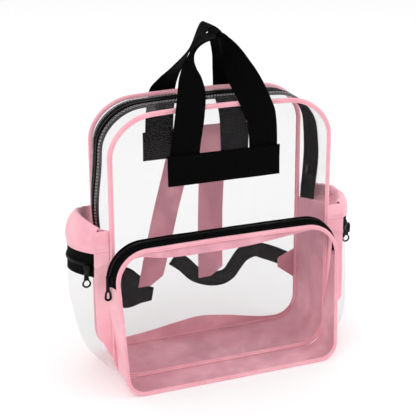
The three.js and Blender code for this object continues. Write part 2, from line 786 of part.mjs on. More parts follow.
const patchTop = bodyHeight - patchDrop;
const patchBottom = patchTop - patchHeight;

// Handle loop; facing is -1 on the front sheet and 1 on the back sheet
function handle(name, facing, rise, leanBy) {
  const sections = handleShape[name].map((row) => {
    const z = patchTop + row.rise * rise;
    const x = (row.span * handleSpan) / 2;
    const base = row.rise < 0.28 ? panelSwell(x, z) + seamGap : clearOfBody(x, z);
    const twist = degrees(row.twist);
    const inward = row.span > 0.1 ? -1 : 1;
    const slope = (panelSwell(x + 10, z) - panelSwell(x - 10, z)) / 20;
    return {
      centre: new THREE.Vector3(x, facing * (base - row.lean * leanBy), z),
      across: new THREE.Vector3(inward * Math.cos(twist), Math.sin(twist) + inward * facing * slope, 0),
    };
  });
  addPart(`${name}_handle`, ribbon(sections, webbingWidth, facing * webbingWall), blackWebbing);
}

// Webbing patch over the feet of a handle, standing off the sheet by what lies under it
function handlePatch(name, facing, depthBelow, raised) {
  const grid = (out) => range(6).map((step) => [patchBottom + raised, patchTop + raised].map((z) => {
    const x = mix(-patchLength / 2, patchLength / 2, step);
    return new THREE.Vector3(x, facing * (panelSwell(x, z) + depthBelow + out), z);
  }));
  addPart(`${name}_handle_patch`, wallBetween(grid(webbingWall), grid(0)), blackWebbing);
}
const overHandle = 2 * seamGap + webbingWall;
const overStrap = overHandle + seamGap + clothWall;
handle('front', -1, frontHandleRise, frontHandleLean);
handle('back', 1, backHandleRise, backHandleLean);
handlePatch('front', -1, overHandle, 0);
handlePatch('back', 1, overStrap, backPatchRaised);

// Shoulder strap, sewn between the back handle and its patch and hanging loose below
const strapDrop = [
  { fall: 0, slack: 0 },
  { fall: 0.2, slack: 0 },
  { fall: 0.35, slack: 0.35 },
  { fall: 0.55, slack: 0.85 },
  { fall: 0.8, slack: 1 },
  { fall: 1, slack: 0.9 },
];

// Centre line of a strap at a share of its length
function strapCentre(hand, fall) {
  const top = hand * (strapSpacing / 2) + strapShift;
  const splay = hand < 0 ? -leftStrapSplay : 0;
  const z = patchTop + strapShow - fall * strapLength;
  const x = top + splay * fall;
  const slack = strapSlack * reading(strapDrop, 'fall', 'slack', fall);
  return new THREE.Vector3(x, panelSwell(x, z) + overHandle + slack, z);
}

function strap(name, hand) {
  const grid = range(10).map((fall) => [-0.5, 0.5].map((share) => {
    const spot = strapCentre(hand, fall);
    spot.x += share * strapWidth;
    spot.z += Math.max(share, 0) * strapFootCut * fall ** 6;
    return spot;
  }));
  addPart(`${name}_strap`, thicken(grid, -clothWall), pinkCloth);
}
strap('left', -1);
strap('right', 1);

// Corner tabs on the back sheet, and the webbing tails that run from them to the straps
const tabOutline = [
  [{ across: 1, lift: 0.5 }, { across: 1, lift: -0.5 }],
  [{ across: 0, lift: 0.23 }, { across: 0, lift: -0.05 }],
];

function tab(name, hand) {
  const grid = (out) => tabOutline.map((line) => line.map((corner) => {
    const z = tabHeight + corner.lift * tabLength;
    const x = bodySide(z) - tabInset - (1 - corner.across) * tabReach;
    return new THREE.Vector3(hand * x, clearOfBody(x, z) + out, z);
  }));
  addPart(`${name}_tab`, wallBetween(grid(clothWall), grid(0)), pinkCloth);
}
tab('left', -1);
tab('right', 1);

// Route of each tail in the plane of the back sheet, from its tab to its free end:
// across is the share of the way from the strap to the tab, lift the share of the tail's width,
// tilt the lean of the webbing's width in that plane, turn its turn out of the plane,
// spread how many widths the folded webbing covers
const tailRoute = {
  right: [
    { across: 1, lift: 0.3, out: 0.1, tilt: 44, turn: 0 },
    { across: 0.88, lift: 0.64, out: 0.2, tilt: 38, turn: 0 },
    { across: 0.73, lift: 0.98, out: 0.6, tilt: 27, turn: 20 },
    { across: 0.6, lift: 1.18, out: 1, tilt: 10, turn: 48 },
    { across: 0.5, lift: 1.1, out: 1, tilt: -32, turn: 30 },
    { across: 0.43, lift: 0.88, out: 1, tilt: -50, turn: 10 },
    { across: 0.335, lift: 0.27, out: 1, tilt: -60, turn: 0 },
    { across: 0.26, lift: -0.24, out: 1, tilt: -56, turn: 0 },
    { across: 0.16, lift: -0.47, out: 1, tilt: -24, turn: 0 },
    { across: 0, lift: -0.4, out: 1, tilt: 0, turn: 0 },
    { across: -0.19, lift: 0.05, out: 1, tilt: 34, turn: 0 },
    { across: -0.34, lift: 0.86, out: 1, tilt: 42, turn: 0 },
    { across: -0.47, lift: 1.4, out: 1, tilt: 42, turn: 0 },
  ],
  left: [
    { across: 1, lift: 0.35, out: 0.1, tilt: 0, turn: 0, spread: 1 },
    { across: 0.84, lift: 0.42, out: 0.2, tilt: 0, turn: 0, spread: 1.4 },
    { across: 0.62, lift: 0.4, out: 0.7, tilt: 4, turn: 0, spread: 2 },
    { across: 0.42, lift: -0.3, out: 1, tilt: 0, turn: 0, spread: 2.1 },
    { across: 0.16, lift: -0.72, out: 1, tilt: 4, turn: 0, spread: 1.3 },
    { across: -0.05, lift: -0.85, out: 1, tilt: 14, turn: 0, spread: 0.85 },
  ],
};

function tail(name, hand) {
  const end = strapCentre(hand, 1);
  const start = hand * (bodySide(tabHeight) - tabInset - tabReach / 2);
  const startY = clearOfBody(Math.abs(start), tabHeight) + clothWall + seamGap;
  const endY = end.y + clothWall + 3 * seamGap;
  const sections = tailRoute[name].map((row) => {
    const tilt = degrees(row.tilt) * hand;
    const turn = degrees(row.turn);
    return {
      centre: new THREE.Vector3(
        mix(end.x, start, row.across),
        mix(startY, endY, row.out),
        mix(end.z + tailOverFoot, tabHeight, Math.abs(row.across)) + row.lift * tailWidth,
      ),
      across: new THREE.Vector3(Math.sin(tilt) * Math.cos(turn), Math.sin(turn),
        Math.cos(tilt) * Math.cos(turn)),
      spread: row.spread,
    };
  });
  addPart(`${name}_adjuster`, ribbon(sections, tailWidth, hand * webbingWall), blackWebbing);
}
tail('left', -1);
tail('right', 1);

// Origin at the bottom centre of the whole backpack
const extent = new THREE.Box3().setFromObject(bag);
const middle = extent.getCenter(new THREE.Vector3());
for (const piece of bag.children) piece.geometry.translate(-middle.x, -middle.y, -extent.min.z);

export default bag;
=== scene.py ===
# Clear stadium backpack: clear vinyl sheets, pink polyester trim, black zips and webbing.
# Sizes are millimetres in the bag's own frame (middle of the body at x = 0, y = 0, floor at z = 0)
# until spot() turns them into metres in the frame that the CAD part sits in.
import bpy
import math
from mathutils import Matrix, Vector, noise


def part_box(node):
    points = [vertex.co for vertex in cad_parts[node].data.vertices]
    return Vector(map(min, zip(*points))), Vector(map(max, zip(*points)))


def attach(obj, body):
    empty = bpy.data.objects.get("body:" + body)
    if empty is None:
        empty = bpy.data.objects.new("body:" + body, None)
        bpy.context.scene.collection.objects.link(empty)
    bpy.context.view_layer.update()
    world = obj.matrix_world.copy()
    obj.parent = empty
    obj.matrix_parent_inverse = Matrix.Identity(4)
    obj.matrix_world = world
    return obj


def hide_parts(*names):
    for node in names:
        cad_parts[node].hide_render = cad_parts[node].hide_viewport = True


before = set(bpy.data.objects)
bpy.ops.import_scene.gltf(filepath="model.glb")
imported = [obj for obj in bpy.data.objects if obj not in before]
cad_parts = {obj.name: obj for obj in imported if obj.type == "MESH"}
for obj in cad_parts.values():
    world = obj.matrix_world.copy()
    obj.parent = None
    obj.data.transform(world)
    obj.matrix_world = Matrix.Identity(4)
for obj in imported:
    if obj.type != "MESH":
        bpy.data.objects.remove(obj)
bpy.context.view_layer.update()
bpy.ops.object.select_all(action="DESELECT")
print("backpack: frame loaded")

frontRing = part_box("front_piping")
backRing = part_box("back_piping")
originX = (frontRing[0].x + frontRing[1].x) / 2
originY = (frontRing[0].y + frontRing[1].y + backRing[0].y + backRing[1].y) / 4


def spot(x, y, z):
    return Vector((originX + x / 1000, originY + y / 1000, max(z, 0) / 1000))


def mix(low, high, share):
    return low + (high - low) * share


def clamp(value, low=0.0, high=1.0):
    return max(low, min(high, value))


def ease(value):
    value = clamp(value)
    return value * value * (3 - 2 * value)


# Smooth reading of a table of rows (place, value, value ...) sorted by place; a value may be a vector
def reading(table, at, column=1):
    row = 0
    while row < len(table) - 2 and at > table[row + 1][0]:
        row += 1
    low, high = table[row], table[row + 1]
    before, after = table[max(row - 1, 0)], table[min(row + 2, len(table) - 1)]
    span = high[0] - low[0]
    share = clamp((at - low[0]) / span)
    slopeLow = (high[column] - before[column]) / ((high[0] - before[0]) or span)
    slopeHigh = (after[column] - low[column]) / ((after[0] - low[0]) or span)
    square, cube = share ** 2, share ** 3
    return ((2 * cube - 3 * square + 1) * low[column] + (cube - 2 * square + share) * span * slopeLow
            + (3 * square - 2 * cube) * high[column] + (cube - square) * span * slopeHigh)


# Length run so far at each point of a line
def runOf(points):
    run = [0.0]
    for first, second in zip(points, points[1:]):
        run.append(run[-1] + (second - first).length)
    return run


# Normal of an open line of (x, z) at one of its points, on the left of its course
def leftOf(line, index):
    along = (line[min(index + 1, len(line) - 1)] - line[max(index - 1, 0)]).normalized()
    return Vector((-along.y, along.x))


# Soft unevenness, the same in every run; size is the length of one swell in mm
def uneven(x, y, z, size, seed=0.0):
    return noise.noise(Vector((x / size + seed, y / size - seed, z / size + 2 * seed)))


# ---- materials

def hexColour(text):
    parts = [int(text[i:i + 2], 16) / 255 for i in (1, 3, 5)]
    return [part / 12.92 if part <= 0.04045 else ((part + 0.055) / 1.055) ** 2.4 for part in parts] + [1.0]


def addNode(material, kind, settings=None, inputs=None):
    node = material.node_tree.nodes.new(kind)
    for key, value in (settings or {}).items():
        setattr(node, key, value)
    for key, value in (inputs or {}).items():
        if isinstance(value, bpy.types.NodeSocket):
            material.node_tree.links.new(value, node.inputs[key])
        else:
            node.inputs[key].default_value = value
    return node


def newFinish(name, look):
    material = bpy.data.materials.new(name)
    material.use_nodes = True
    shader = material.node_tree.nodes["Principled BSDF"]
    for key, value in look.items():
        shader.inputs[key].default_value = value
    return material, shader


def blend(material, factor, first, second, how="MIX"):
    node = addNode(material, "ShaderNodeMix", {"data_type": "RGBA", "blend_type": how})
    for socket, value in ((node.inputs[0], factor), (node.inputs[6], first), (node.inputs[7], second)):
        if isinstance(value, bpy.types.NodeSocket):
            material.node_tree.links.new(value, socket)
        else:
            socket.default_value = value
    return node.outputs[2]


def rampOf(material, source, stops):
    node = addNode(material, "ShaderNodeValToRGB", inputs={"Fac": source})
    ramp = node.color_ramp
    while len(ramp.elements) < len(stops):
        ramp.elements.new(0.5)
    for element, (place, value) in zip(ramp.elements, stops):
        element.position = place
        element.color = value if isinstance(value, (list, tuple)) else (value, value, value, 1)
    return node.outputs["Color"]


def calc(material, how, first, second=0.0):
    return addNode(material, "ShaderNodeMath", {"operation": how}, {0: first, 1: second}).outputs[0]


def coordinates(material):
    return addNode(material, "ShaderNodeTexCoord").outputs


def noiseOf(material, where, scale, detail=2.0, roughness=0.5, distortion=0.0):
    return addNode(material, "ShaderNodeTexNoise", inputs={
        "Vector": where, "Scale": scale, "Detail": detail, "Roughness": roughness,
        "Distortion": distortion}).outputs["Fac"]


# The UV maps hold millimetres along and across each piece, and the scale makes a Wave texture
# repeat every pitch mm
def waveOf(material, where, direction, pitch, distortion, detail, detailScale=1.0):
    return addNode(material, "ShaderNodeTexWave", {"bands_direction": direction}, {
        "Vector": where, "Scale": math.pi / 10 / pitch, "Distortion": distortion, "Detail": detail,
        "Detail Scale": detailScale}).outputs["Fac"]


def connect(material, output, shader, socket):
    material.node_tree.links.new(output, shader.inputs[socket])


def bumpFrom(material, shader, height, strength, distance):
    bump = addNode(material, "ShaderNodeBump", inputs={"Strength": strength, "Distance": distance, "Height": height})
    connect(material, bump.outputs[0], shader, "Normal")


# Plain woven polyester: matt, a fine weave, slightly blotchy from the dye and the coating behind it, with soft darker
# streaks that are painted shade of loose folds
def wovenPolyester(name, light, deep, shade=0.5, crease=0.0):
    material, shader = newFinish(name, {"Roughness": 0.78, "Sheen Weight": 0.25, "Sheen Roughness": 0.5,
                                        "Specular IOR Level": 0.3})
    where = coordinates(material)
    cloud = noiseOf(material, where["Object"], 28.0, 5.0, 0.62)
    foldShadeNoise = noiseOf(material, where["Object"], 9.0)
    # weave drawn at 1.5 mm, three times the real thread, so that it shows
    warp = waveOf(material, where["UV"], "X", 1.5, 0.4, 1.0)
    weft = waveOf(material, where["UV"], "Y", 1.5, 0.4, 1.0)
    weave = calc(material, "MAXIMUM", warp, weft)
    tone = rampOf(material, cloud, [(0.3, hexColour(deep)), (0.62, hexColour(light))])
    # darker streaks toward the deep tone, as strong as shade: painted fold shade
    tone = blend(material, rampOf(material, foldShadeNoise, [(0.35, shade), (0.6, 0.0)]), tone, hexColour(deep))
    tone = blend(material, 0.1, tone, rampOf(material, weave, [(0.2, 0.55), (0.9, 1.0)]), "MULTIPLY")
    if crease:
        # painted shade of soft creases: darker patches laid on the cloth towards a dusky pink
        patch = noiseOf(material, where["Object"], 8.0, 3.0, 0.5, 1.2)
        dark = rampOf(material, patch, [(0.36, crease * 0.7), (0.46, crease * 0.4), (0.49, crease * 0.1),
                                        (0.56, 0.0)])
        tone = blend(material, dark, tone, hexColour("#ad7180"))
    connect(material, tone, shader, "Base Color")
    connect(material, rampOf(material, cloud, [(0.3, 0.86), (0.7, 0.7)]), shader, "Roughness")
    bumpFrom(material, shader, calc(material, "ADD", calc(material, "MULTIPLY", weave, 0.25), cloud), 0.35, 0.0009)
    return material


# Clear plasticised PVC film: glossy, faintly grey, with soft waves. Each face of the wall keeps
# back the share given as veil, and more where it is seen at a low angle
def clearVinylFilm(name, veil=0.045, grey="#555255", gloss=0.1):
    material, shader = newFinish(name, {"IOR": 1.53, "Base Color": hexColour(grey)})
    where = coordinates(material)["Object"]
    swell = noiseOf(material, where, 16.0, 3.0, 0.45)
    haze = noiseOf(material, where, 60.0, 4.0, 0.6)
    edge = addNode(material, "ShaderNodeLayerWeight", inputs={"Blend": 0.25}).outputs["Facing"]
    low = calc(material, "MULTIPLY", calc(material, "POWER", edge, 3.0), gloss)
    misty = rampOf(material, haze, [(0.35, veil * 0.93), (0.75, veil * 1.1)])
    connect(material, calc(material, "ADD", misty, low), shader, "Alpha")
    connect(material, rampOf(material, haze, [(0.3, 0.07), (0.8, 0.16)]), shader, "Roughness")
    bumpFrom(material, shader, swell, 0.35, 0.002)
    return material


# Woven polypropylene webbing: black, matt, ribs across it and finer lanes along it
def ribbedWebbing(name, dark="#010101", light="#0b0b0c"):
    material, shader = newFinish(name, {"Roughness": 0.85, "Specular IOR Level": 0.04})
    where = coordinates(material)
    ribs = waveOf(material, where["UV"], "X", 2.4, 0.6, 2.0, 2.0)
    lanes = waveOf(material, where["UV"], "Y", 3.2, 0.5, 1.0)
    lint = noiseOf(material, where["Object"], 190.0, 4.0, 0.7)
    weave = calc(material, "MULTIPLY", ribs, calc(material, "ADD", calc(material, "MULTIPLY", lanes, 0.5), 0.5))
    tone = rampOf(material, weave, [(0.1, hexColour(dark)), (0.95, hexColour(light))])
    tone = blend(material, rampOf(material, lint, [(0.6, 0.0), (0.85, 0.15)]), tone, hexColour("#111012"))
    connect(material, tone, shader, "Base Color")
    bumpFrom(material, shader, calc(material, "ADD", weave, calc(material, "MULTIPLY", lint, 0.1)), 0.5, 0.0006)
    return material


# Zip tape: black herringbone polyester, finer and a little shinier than webbing
def zipTapeCloth(name):
    material, shader = newFinish(name, {"Roughness": 0.75, "Specular IOR Level": 0.05})
    where = coordinates(material)
    slant = addNode(material, "ShaderNodeMapping", inputs={"Vector": where["UV"], "Rotation": (0, 0, 0.7)}).outputs[0]
    twill = waveOf(material, slant, "X", 1.8, 0.5, 1.5)
    lint = noiseOf(material, where["Object"], 150.0, 4.0)
    tone = rampOf(material, twill, [(0.1, hexColour("#020202")), (0.9, hexColour("#0c0c0d"))])
    tone = blend(material, rampOf(material, lint, [(0.5, 0.0), (0.8, 0.3)]), tone, hexColour("#151416"))
    connect(material, tone, shader, "Base Color")
    bumpFrom(material, shader, twill, 0.4, 0.0005)
    return material


# Nylon zip coil: black, smooth moulded filament with a soft shine
def nylonCoil(name):
    material, shader = newFinish(name, {"Specular IOR Level": 0.15, "Base Color": hexColour("#050505")})
    fine = noiseOf(material, coordinates(material)["Object"], 400.0)
    connect(material, rampOf(material, fine, [(0.3, 0.3), (0.7, 0.5)]), shader, "Roughness")
    return material


# Zinc die casting with black enamel: glossy paint that has rounded the edges, faint orange peel
def blackEnamel(name):
    material, shader = newFinish(name, {"Roughness": 0.3, "Coat Weight": 0.05, "Coat Roughness": 0.12,
                                        "Specular IOR Level": 0.12})
    where = coordinates(material)["Object"]
    peel = noiseOf(material, where, 500.0)
    wear = noiseOf(material, where, 120.0, 6.0, 0.7)
    tone = rampOf(material, wear, [(0.4, hexColour("#020202")), (0.78, hexColour("#0c0c0d"))])
    connect(material, tone, shader, "Base Color")
    bumpFrom(material, shader, peel, 0.15, 0.0002)
    return material


# Spun polyester sewing thread: tiny, slightly lustrous, a shade off the cloth
def sewingThread(name, colour, lustre=0.3):
    material, shader = newFinish(name, {"Roughness": 0.55, "Sheen Weight": lustre, "Specular IOR Level": lustre})
    twist = noiseOf(material, coordinates(material)["Object"], 700.0)
    dark = [part * 0.72 for part in hexColour(colour)[:3]] + [1.0]
    connect(material, rampOf(material, twist, [(0.3, dark), (0.7, hexColour(colour))]), shader, "Base Color")
    return material


pinkCloth = wovenPolyester("pinkWovenPolyester", "#fbc3cc", "#f0a9b7", 0.6)
pinkBinding = wovenPolyester("pinkBindingTape", "#f8b9c4", "#eea4b2", 0.5)
# the pink cloth drawn darker, with strong fold streaks and crease patches: painted shade for faces turned into the bag
# or away from the light
pinkShadedSide = wovenPolyester("pinkClothPaintedShade", "#f7bcc7", "#e19cab", 0.8, 0.55)
clearFilm = clearVinylFilm("clearPvcFilm")
cornerFilm = clearVinylFilm("clearPvcFilmRippled", 0.06, "#8d8488", 0.26)
pocketFilm = clearVinylFilm("clearPvcFilmOfPocket", 0.012, "#7a777a", 0.1)
webbing = ribbedWebbing("blackPolypropyleneWebbing")
tape = zipTapeCloth("blackZipTape")
coil = nylonCoil("blackNylonCoil")
enamel = blackEnamel("blackEnamelledZinc")
pinkThread = sewingThread("pinkThread", "#fbd3da")
blackThread = sewingThread("blackThread", "#0a0a0a", 0.03)
print("backpack: materials made")


# ---- making and finishing pieces

def selectOnly(piece):
    bpy.ops.object.select_all(action="DESELECT")
    piece.select_set(True)
    bpy.context.view_layer.objects.active = piece


def openMesh():
    bpy.ops.object.mode_set(mode="EDIT")
    bpy.ops.mesh.select_all(action="SELECT")


def closeMesh():
    bpy.ops.object.mode_set(mode="OBJECT")


def faceOutwards():
    openMesh()
    bpy.ops.mesh.normals_make_consistent(inside=False)
    closeMesh()


# Smooths a piece, gives it its finish, and where inwards(centre, normal) holds a second finish, the pink
# cloth drawn darker as painted shade; parents it to the root body and hides the CAD nodes that it stands for
def finishPiece(piece, finish, stands=(), smoothAngle=50, shadedSide=None, inwards=None):
    selectOnly(piece)
    bpy.ops.object.shade_smooth_by_angle(angle=math.radians(smoothAngle))
    piece.data.materials.clear()
    piece.data.materials.append(finish)
    if shadedSide:
        piece.data.materials.append(shadedSide)
        for face in piece.data.polygons:
            face.material_index = 1 if inwards(face.center, face.normal) else 0
    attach(piece, "root")
    if stands:
        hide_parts(*stands)
    return piece


# A sheet or tube made from a plane grid: place(u, v) gives each crossing's spot in metres, size is
# its length and width in mm for the pattern, and wall is grown towards grow (-1 or 1)
def gridPiece(name, columns, rows, place, size, wall=0.0, grow=-1, closed=False):
    bpy.ops.object.select_all(action="DESELECT")
    bpy.ops.mesh.primitive_grid_add(x_subdivisions=columns, y_subdivisions=rows, size=2, location=(0, 0, 0))
    piece = bpy.context.object
    piece.name = name
    mesh = piece.data
    mesh.name = name
    for vertex in mesh.vertices:
        vertex.co = place(clamp((vertex.co.x + 1) / 2), clamp((vertex.co.y + 1) / 2))
    for corner in mesh.uv_layers[0].data:
        corner.uv = (corner.uv[0] * size[0], corner.uv[1] * size[1])
    openMesh()
    bpy.ops.mesh.remove_doubles(threshold=0.00002)
    closeMesh()
    if closed:
        faceOutwards()
    if wall:
        shell = piece.modifiers.new("wall", "SOLIDIFY")
        shell.thickness = wall / 1000
        shell.offset = grow
        shell.use_even_offset = False
        bpy.ops.object.modifier_apply(modifier="wall")
        faceOutwards()
    return piece


def meshPiece(name, vertices, faces):
    mesh = bpy.data.meshes.new(name)
    mesh.from_pydata([tuple(vertex) for vertex in vertices], [], faces)
    mesh.update()
    piece = bpy.data.objects.new(name, mesh)
    bpy.context.scene.collection.objects.link(piece)
    selectOnly(piece)
    faceOutwards()
    return piece


# Sewn stitches along a line of (place, up) pairs in mm: one small rounded stitch, copied
def stitchPiece(name, line, finish, length=3.0, gap=1.2, thick=0.55, closed=False):
    points = [Vector(place) for place, up in line]
    ups = [Vector(up).normalized() for place, up in line]
    if closed:
        points.append(points[0])
        ups.append(ups[0])
    reach = runOf(points)
    count = max(int(reach[-1] / (length + gap)), 1)
    vertices, faces = [], []

    def at(distance):
        index = 0
        while index < len(reach) - 2 and reach[index + 1] < distance:
            index += 1
        share = clamp((distance - reach[index]) / max(reach[index + 1] - reach[index], 0.001))
        return points[index].lerp(points[index + 1], share), ups[index]

    for number in range(count):
        start = (number + 0.5) * reach[-1] / count - length / 2
        rings = []
        for step, (share, size) in enumerate(((0.0, 0.35), (0.25, 1.0), (0.75, 1.0), (1.0, 0.35))):
            centre, up = at(clamp(start + share * length, 0, reach[-1]))
            ahead = at(clamp(start + share * length + 0.4, 0, reach[-1]))[0] - centre
            if ahead.length < 0.01:
                ahead = centre - at(clamp(start - 0.4, 0, reach[-1]))[0]
            side = ahead.normalized().cross(up).normalized()
            rings.append([len(vertices) + corner for corner in range(4)])
            for across, lift in ((-1, 0.0), (0, 0.62), (1, 0.0), (0, -0.3)):
                vertices.append(spot(*(centre + side * across * thick * size / 2 + up * lift * thick * size)))
        for first, second in zip(rings, rings[1:]):
            for corner in range(4):
                after = (corner + 1) % 4
                faces.append((first[corner], first[after], second[after], second[corner]))
        faces.append(tuple(reversed(rings[0])))
        faces.append(tuple(rings[-1]))
    return finishPiece(meshPiece(name, vertices, faces), finish)


# Teeth of a zip coil along a line of (place, up, across) in mm: each tooth is a small bridge
toothSection = [(-1.0, -0.2), (-0.92, 0.6), (-0.25, 1.0), (0.25, 1.0), (0.92, 0.6), (1.0, -0.2)]


def coilPiece(name, line, pitch=2.2, width=5.2, height=1.5):
    vertices, faces = [], []
    places = [Vector(place) for place, up, across in line]
    reach = runOf(places)
    index = 0
    for number in range(int(reach[-1] / pitch)):
        distance = (number + 0.5) * pitch
        while index < len(reach) - 2 and reach[index + 1] < distance:
            index += 1
        share = (distance - reach[index]) / max(reach[index + 1] - reach[index], 0.001)
        centre = places[index].lerp(places[index + 1], share)
        ahead = (places[index + 1] - places[index]).normalized()
        up, across = (Vector(direction).normalized() for direction in line[index][1:])
        start = len(vertices)
        for side, lift in toothSection:
            for end in (-0.36, 0.36):
                vertices.append(spot(*(centre + across * side * width / 2 + up * lift * height
                                       + ahead * (end * pitch + 0.25 * side))))
        last = len(toothSection) - 1
        for step in range(last):
            a = start + step * 2
            faces.append((a, a + 1, a + 3, a + 2))
        faces.append(tuple(start + step * 2 for step in range(last + 1)))
        faces.append(tuple(start + 1 + step * 2 for step in reversed(range(last + 1))))
        faces.append((start, start + 2 * last, start + 2 * last + 1, start + 1))
    return finishPiece(meshPiece(name, vertices, faces), coil)


# ---- the arch-topped outlines

body = {"foot": 0.5, "height": 359, "base": 306, "top": 299, "topRound": 57, "baseRound": 36, "crown": 7,
        "depth": 90, "ring": 5.2, "bulge": 3.5}
pocket = {"foot": 0.5, "height": 191, "base": 295, "top": 308, "topRound": 44, "baseRound": 24, "crown": 2,
          "depthBase": 48, "depthTop": 23, "bulge": 5}


def smaller(sheet, inset):
    made = dict(sheet)
    made["foot"] += inset
    made["height"] -= inset
    made["base"] -= 2 * inset
    made["top"] -= 2 * inset
    made["topRound"] -= inset
    made["baseRound"] -= inset
    return made


def halfWidth(sheet, z):
    return mix(sheet["base"], sheet["top"], z / sheet["height"]) / 2


def roundOff(sheet, side, radius):
    middle = (sheet["base"] + sheet["top"]) / 4
    past = max(abs(side) * middle - (middle - radius), 0)
    return radius - math.sqrt(max(radius * radius - past * past, 0))


def lowEdge(sheet, side):
    return sheet["foot"] + roundOff(sheet, side, sheet["baseRound"])


def highEdge(sheet, side):
    return sheet["height"] - roundOff(sheet, side, sheet["topRound"]) - sheet["crown"] * side * side


# Evenly spaced points along a line of (x, z)
def evenly(line, count, closed=False):
    points = [Vector(point) for point in line]
    if closed:
        points.append(points[0])
    reach = runOf(points)
    made, index = [], 0
    steps = count if closed else count - 1
    for number in range(count):
        distance = reach[-1] * number / steps
        while index < len(reach) - 2 and reach[index + 1] < distance:
            index += 1
        share = clamp((distance - reach[index]) / max(reach[index + 1] - reach[index], 1e-6))
        made.append(points[index].lerp(points[index + 1], share))
    return made


# Closed outline of a sheet, anticlockwise seen from the front, starting at the right foot
def outline(sheet, count=260):
    points = []

    def arc(side, centre, radius, start, end):
        for step in range(13):
            angle = math.radians(mix(start, end, step / 12))
            z = centre + radius * math.sin(angle)
            half = halfWidth(sheet, z)
            x = side * (half - radius) + radius * math.cos(angle)
            lift = sheet["crown"] * (x / half) ** 2 * math.sin(angle) if z > sheet["height"] / 2 else 0
            points.append((x, z - lift))

    arc(1, sheet["foot"] + sheet["baseRound"], sheet["baseRound"], -90, 0)
    arc(1, sheet["height"] - sheet["topRound"], sheet["topRound"], 0, 90)
    start = sheet["top"] / 2 - sheet["topRound"]
    for step in range(1, 12):
        x = mix(start, -start, step / 12)
        points.append((x, sheet["height"] - sheet["crown"] * (2 * x / sheet["top"]) ** 2))
    arc(-1, sheet["height"] - sheet["topRound"], sheet["topRound"], 90, 180)
    arc(-1, sheet["foot"] + sheet["baseRound"], sheet["baseRound"], 180, 270)
    return evenly(points, count, True)


# Open line over the top of a sheet, with its ends at the foot height; the points are put in order
# by their angle round a middle height
def overTop(sheet, foot, clear, middle, end, count):
    top = [(point.x, point.y) for point in outline(sheet, 400) if point.y > foot + clear]
    top.sort(key=lambda point: math.atan2(point[1] - middle, point[0]), reverse=True)
    return evenly([(-end, foot)] + top + [(end, foot)], count)


# Open line down both sides and under the base, from the left top to the right top
def underBase(half, radius, top, arcSteps, riseSteps, count):
    flat = half(radius) - radius
    right = [(flat * step / 8, 0.0) for step in range(1, 9)]
    for step in range(1, arcSteps + 1):
        angle = math.radians(-90 + 90 * step / arcSteps)
        right.append((flat + radius * math.cos(angle), radius + radius * math.sin(angle)))
    for step in range(1, riseSteps + 1):
        z = mix(radius, top, step / riseSteps)
        right.append((half(z), z))
    return evenly([(-x, z) for x, z in reversed(right)] + [(0.0, 0.0)] + right, count)


# How far a sheet held at its edges swells out: side from -1 to 1 across it, rise from 0 to 1
def pillow(side, rise):
    return max(1 - side * side, 0) * math.sin(math.pi * clamp(rise))


# walls in mm: clear film, hemmed cloth and doubled webbing
filmWall, clothWall, webbingWall = 0.5, 1.5, 1.6
panelSheet = smaller(body, 4.3)
faceSheet = smaller(pocket, 4.2)


def panelSwell(x, z):
    side = clamp(x / halfWidth(panelSheet, z), -1, 1)
    low, high = lowEdge(panelSheet, side), highEdge(panelSheet, side)
    return body["depth"] / 2 + 0.6 + body["bulge"] * pillow(side, (z - low) / max(high - low, 1))


def pocketPlane(z):
    return -body["depth"] / 2 - mix(pocket["depthBase"], pocket["depthTop"], z / pocket["height"])


def pocketSwell(z, side, rise):
    return pocketPlane(z) - 0.6 - pocket["bulge"] * pillow(side, rise)


def clearOfBody(x, z):
    return max((body["depth"] + body["ring"]) / 2, panelSwell(x, z)) + 0.3


gussetHalf = (body["depth"] - body["ring"]) / 2 - 0.3


def sideInset(y):
    return 1.4 + 1.2 * (1 - (y / gussetHalf) ** 2)


def gussetTop(y):
    return mix(208, 188, (y + gussetHalf) / (2 * gussetHalf))


# ---- camera, first because every judgement is made through it

# degrees, mm, and the focal length in pixels of the photo's width
view = {"azimuth": -20.861, "elevation": 20.282, "roll": -0.185, "distance": 1337.94, "focal": 1014.69,
        "target": (-3.605, 0, 205.606), "pixels": 416, "sensor": 36}


def addCamera():
    azimuth, elevation = math.radians(view["azimuth"]), math.radians(view["elevation"])
    roll = math.radians(view["roll"])
    back = Vector((math.sin(azimuth) * math.cos(elevation), -math.cos(azimuth) * math.cos(elevation),
                   math.sin(elevation)))
    right = Vector((math.cos(azimuth), math.sin(azimuth), 0))
    up = back.cross(right)
    turnedRight = right * math.cos(roll) + up * math.sin(roll)
    turnedUp = up * math.cos(roll) - right * math.sin(roll)
    bpy.ops.object.camera_add()
    camera = bpy.context.object
    camera.name = "frontCamera"
    place = spot(*view["target"]) + back * view["distance"] / 1000
    rows = Matrix((turnedRight, turnedUp, back)).transposed().to_4x4()
    camera.matrix_world = Matrix.Translation(place) @ rows
    camera.data.sensor_width = view["sensor"]
    camera.data.lens = view["focal"] / view["pixels"] * view["sensor"]
    camera.data.clip_end = 60
    bpy.context.scene.camera = camera


addCamera()
print("backpack: camera placed")


# ---- clear sheets of the main compartment

sheetLook = {"columns": 96, "rows": 96, "waves": 0.7}


def mainSheet(name, facing, node):
    def place(u, v):
        side = math.sin((u - 0.5) * math.pi)
        z = mix(lowEdge(panelSheet, side), highEdge(panelSheet, side), v)
        x = side * halfWidth(panelSheet, z)
        loose = pillow(side, v) ** 0.6
        wave = uneven(x, facing * 40, z, 95, 3) + uneven(x, facing * 20, z, 38, 8) * 0.35
        return spot(x, facing * (panelSwell(x, z) + wave * loose * sheetLook["waves"] - 0.25), z)

    piece = gridPiece(name, sheetLook["columns"], sheetLook["rows"], place, (290, 348), filmWall, 1)
    finishPiece(piece, clearFilm, (node,), 60)


mainSheet("front_sheet", -1, "front_panel")
mainSheet("back_sheet", 1, "back_panel")


# ---- pink binding round each sheet: a folded tape over the seam, with a cord-like outer edge

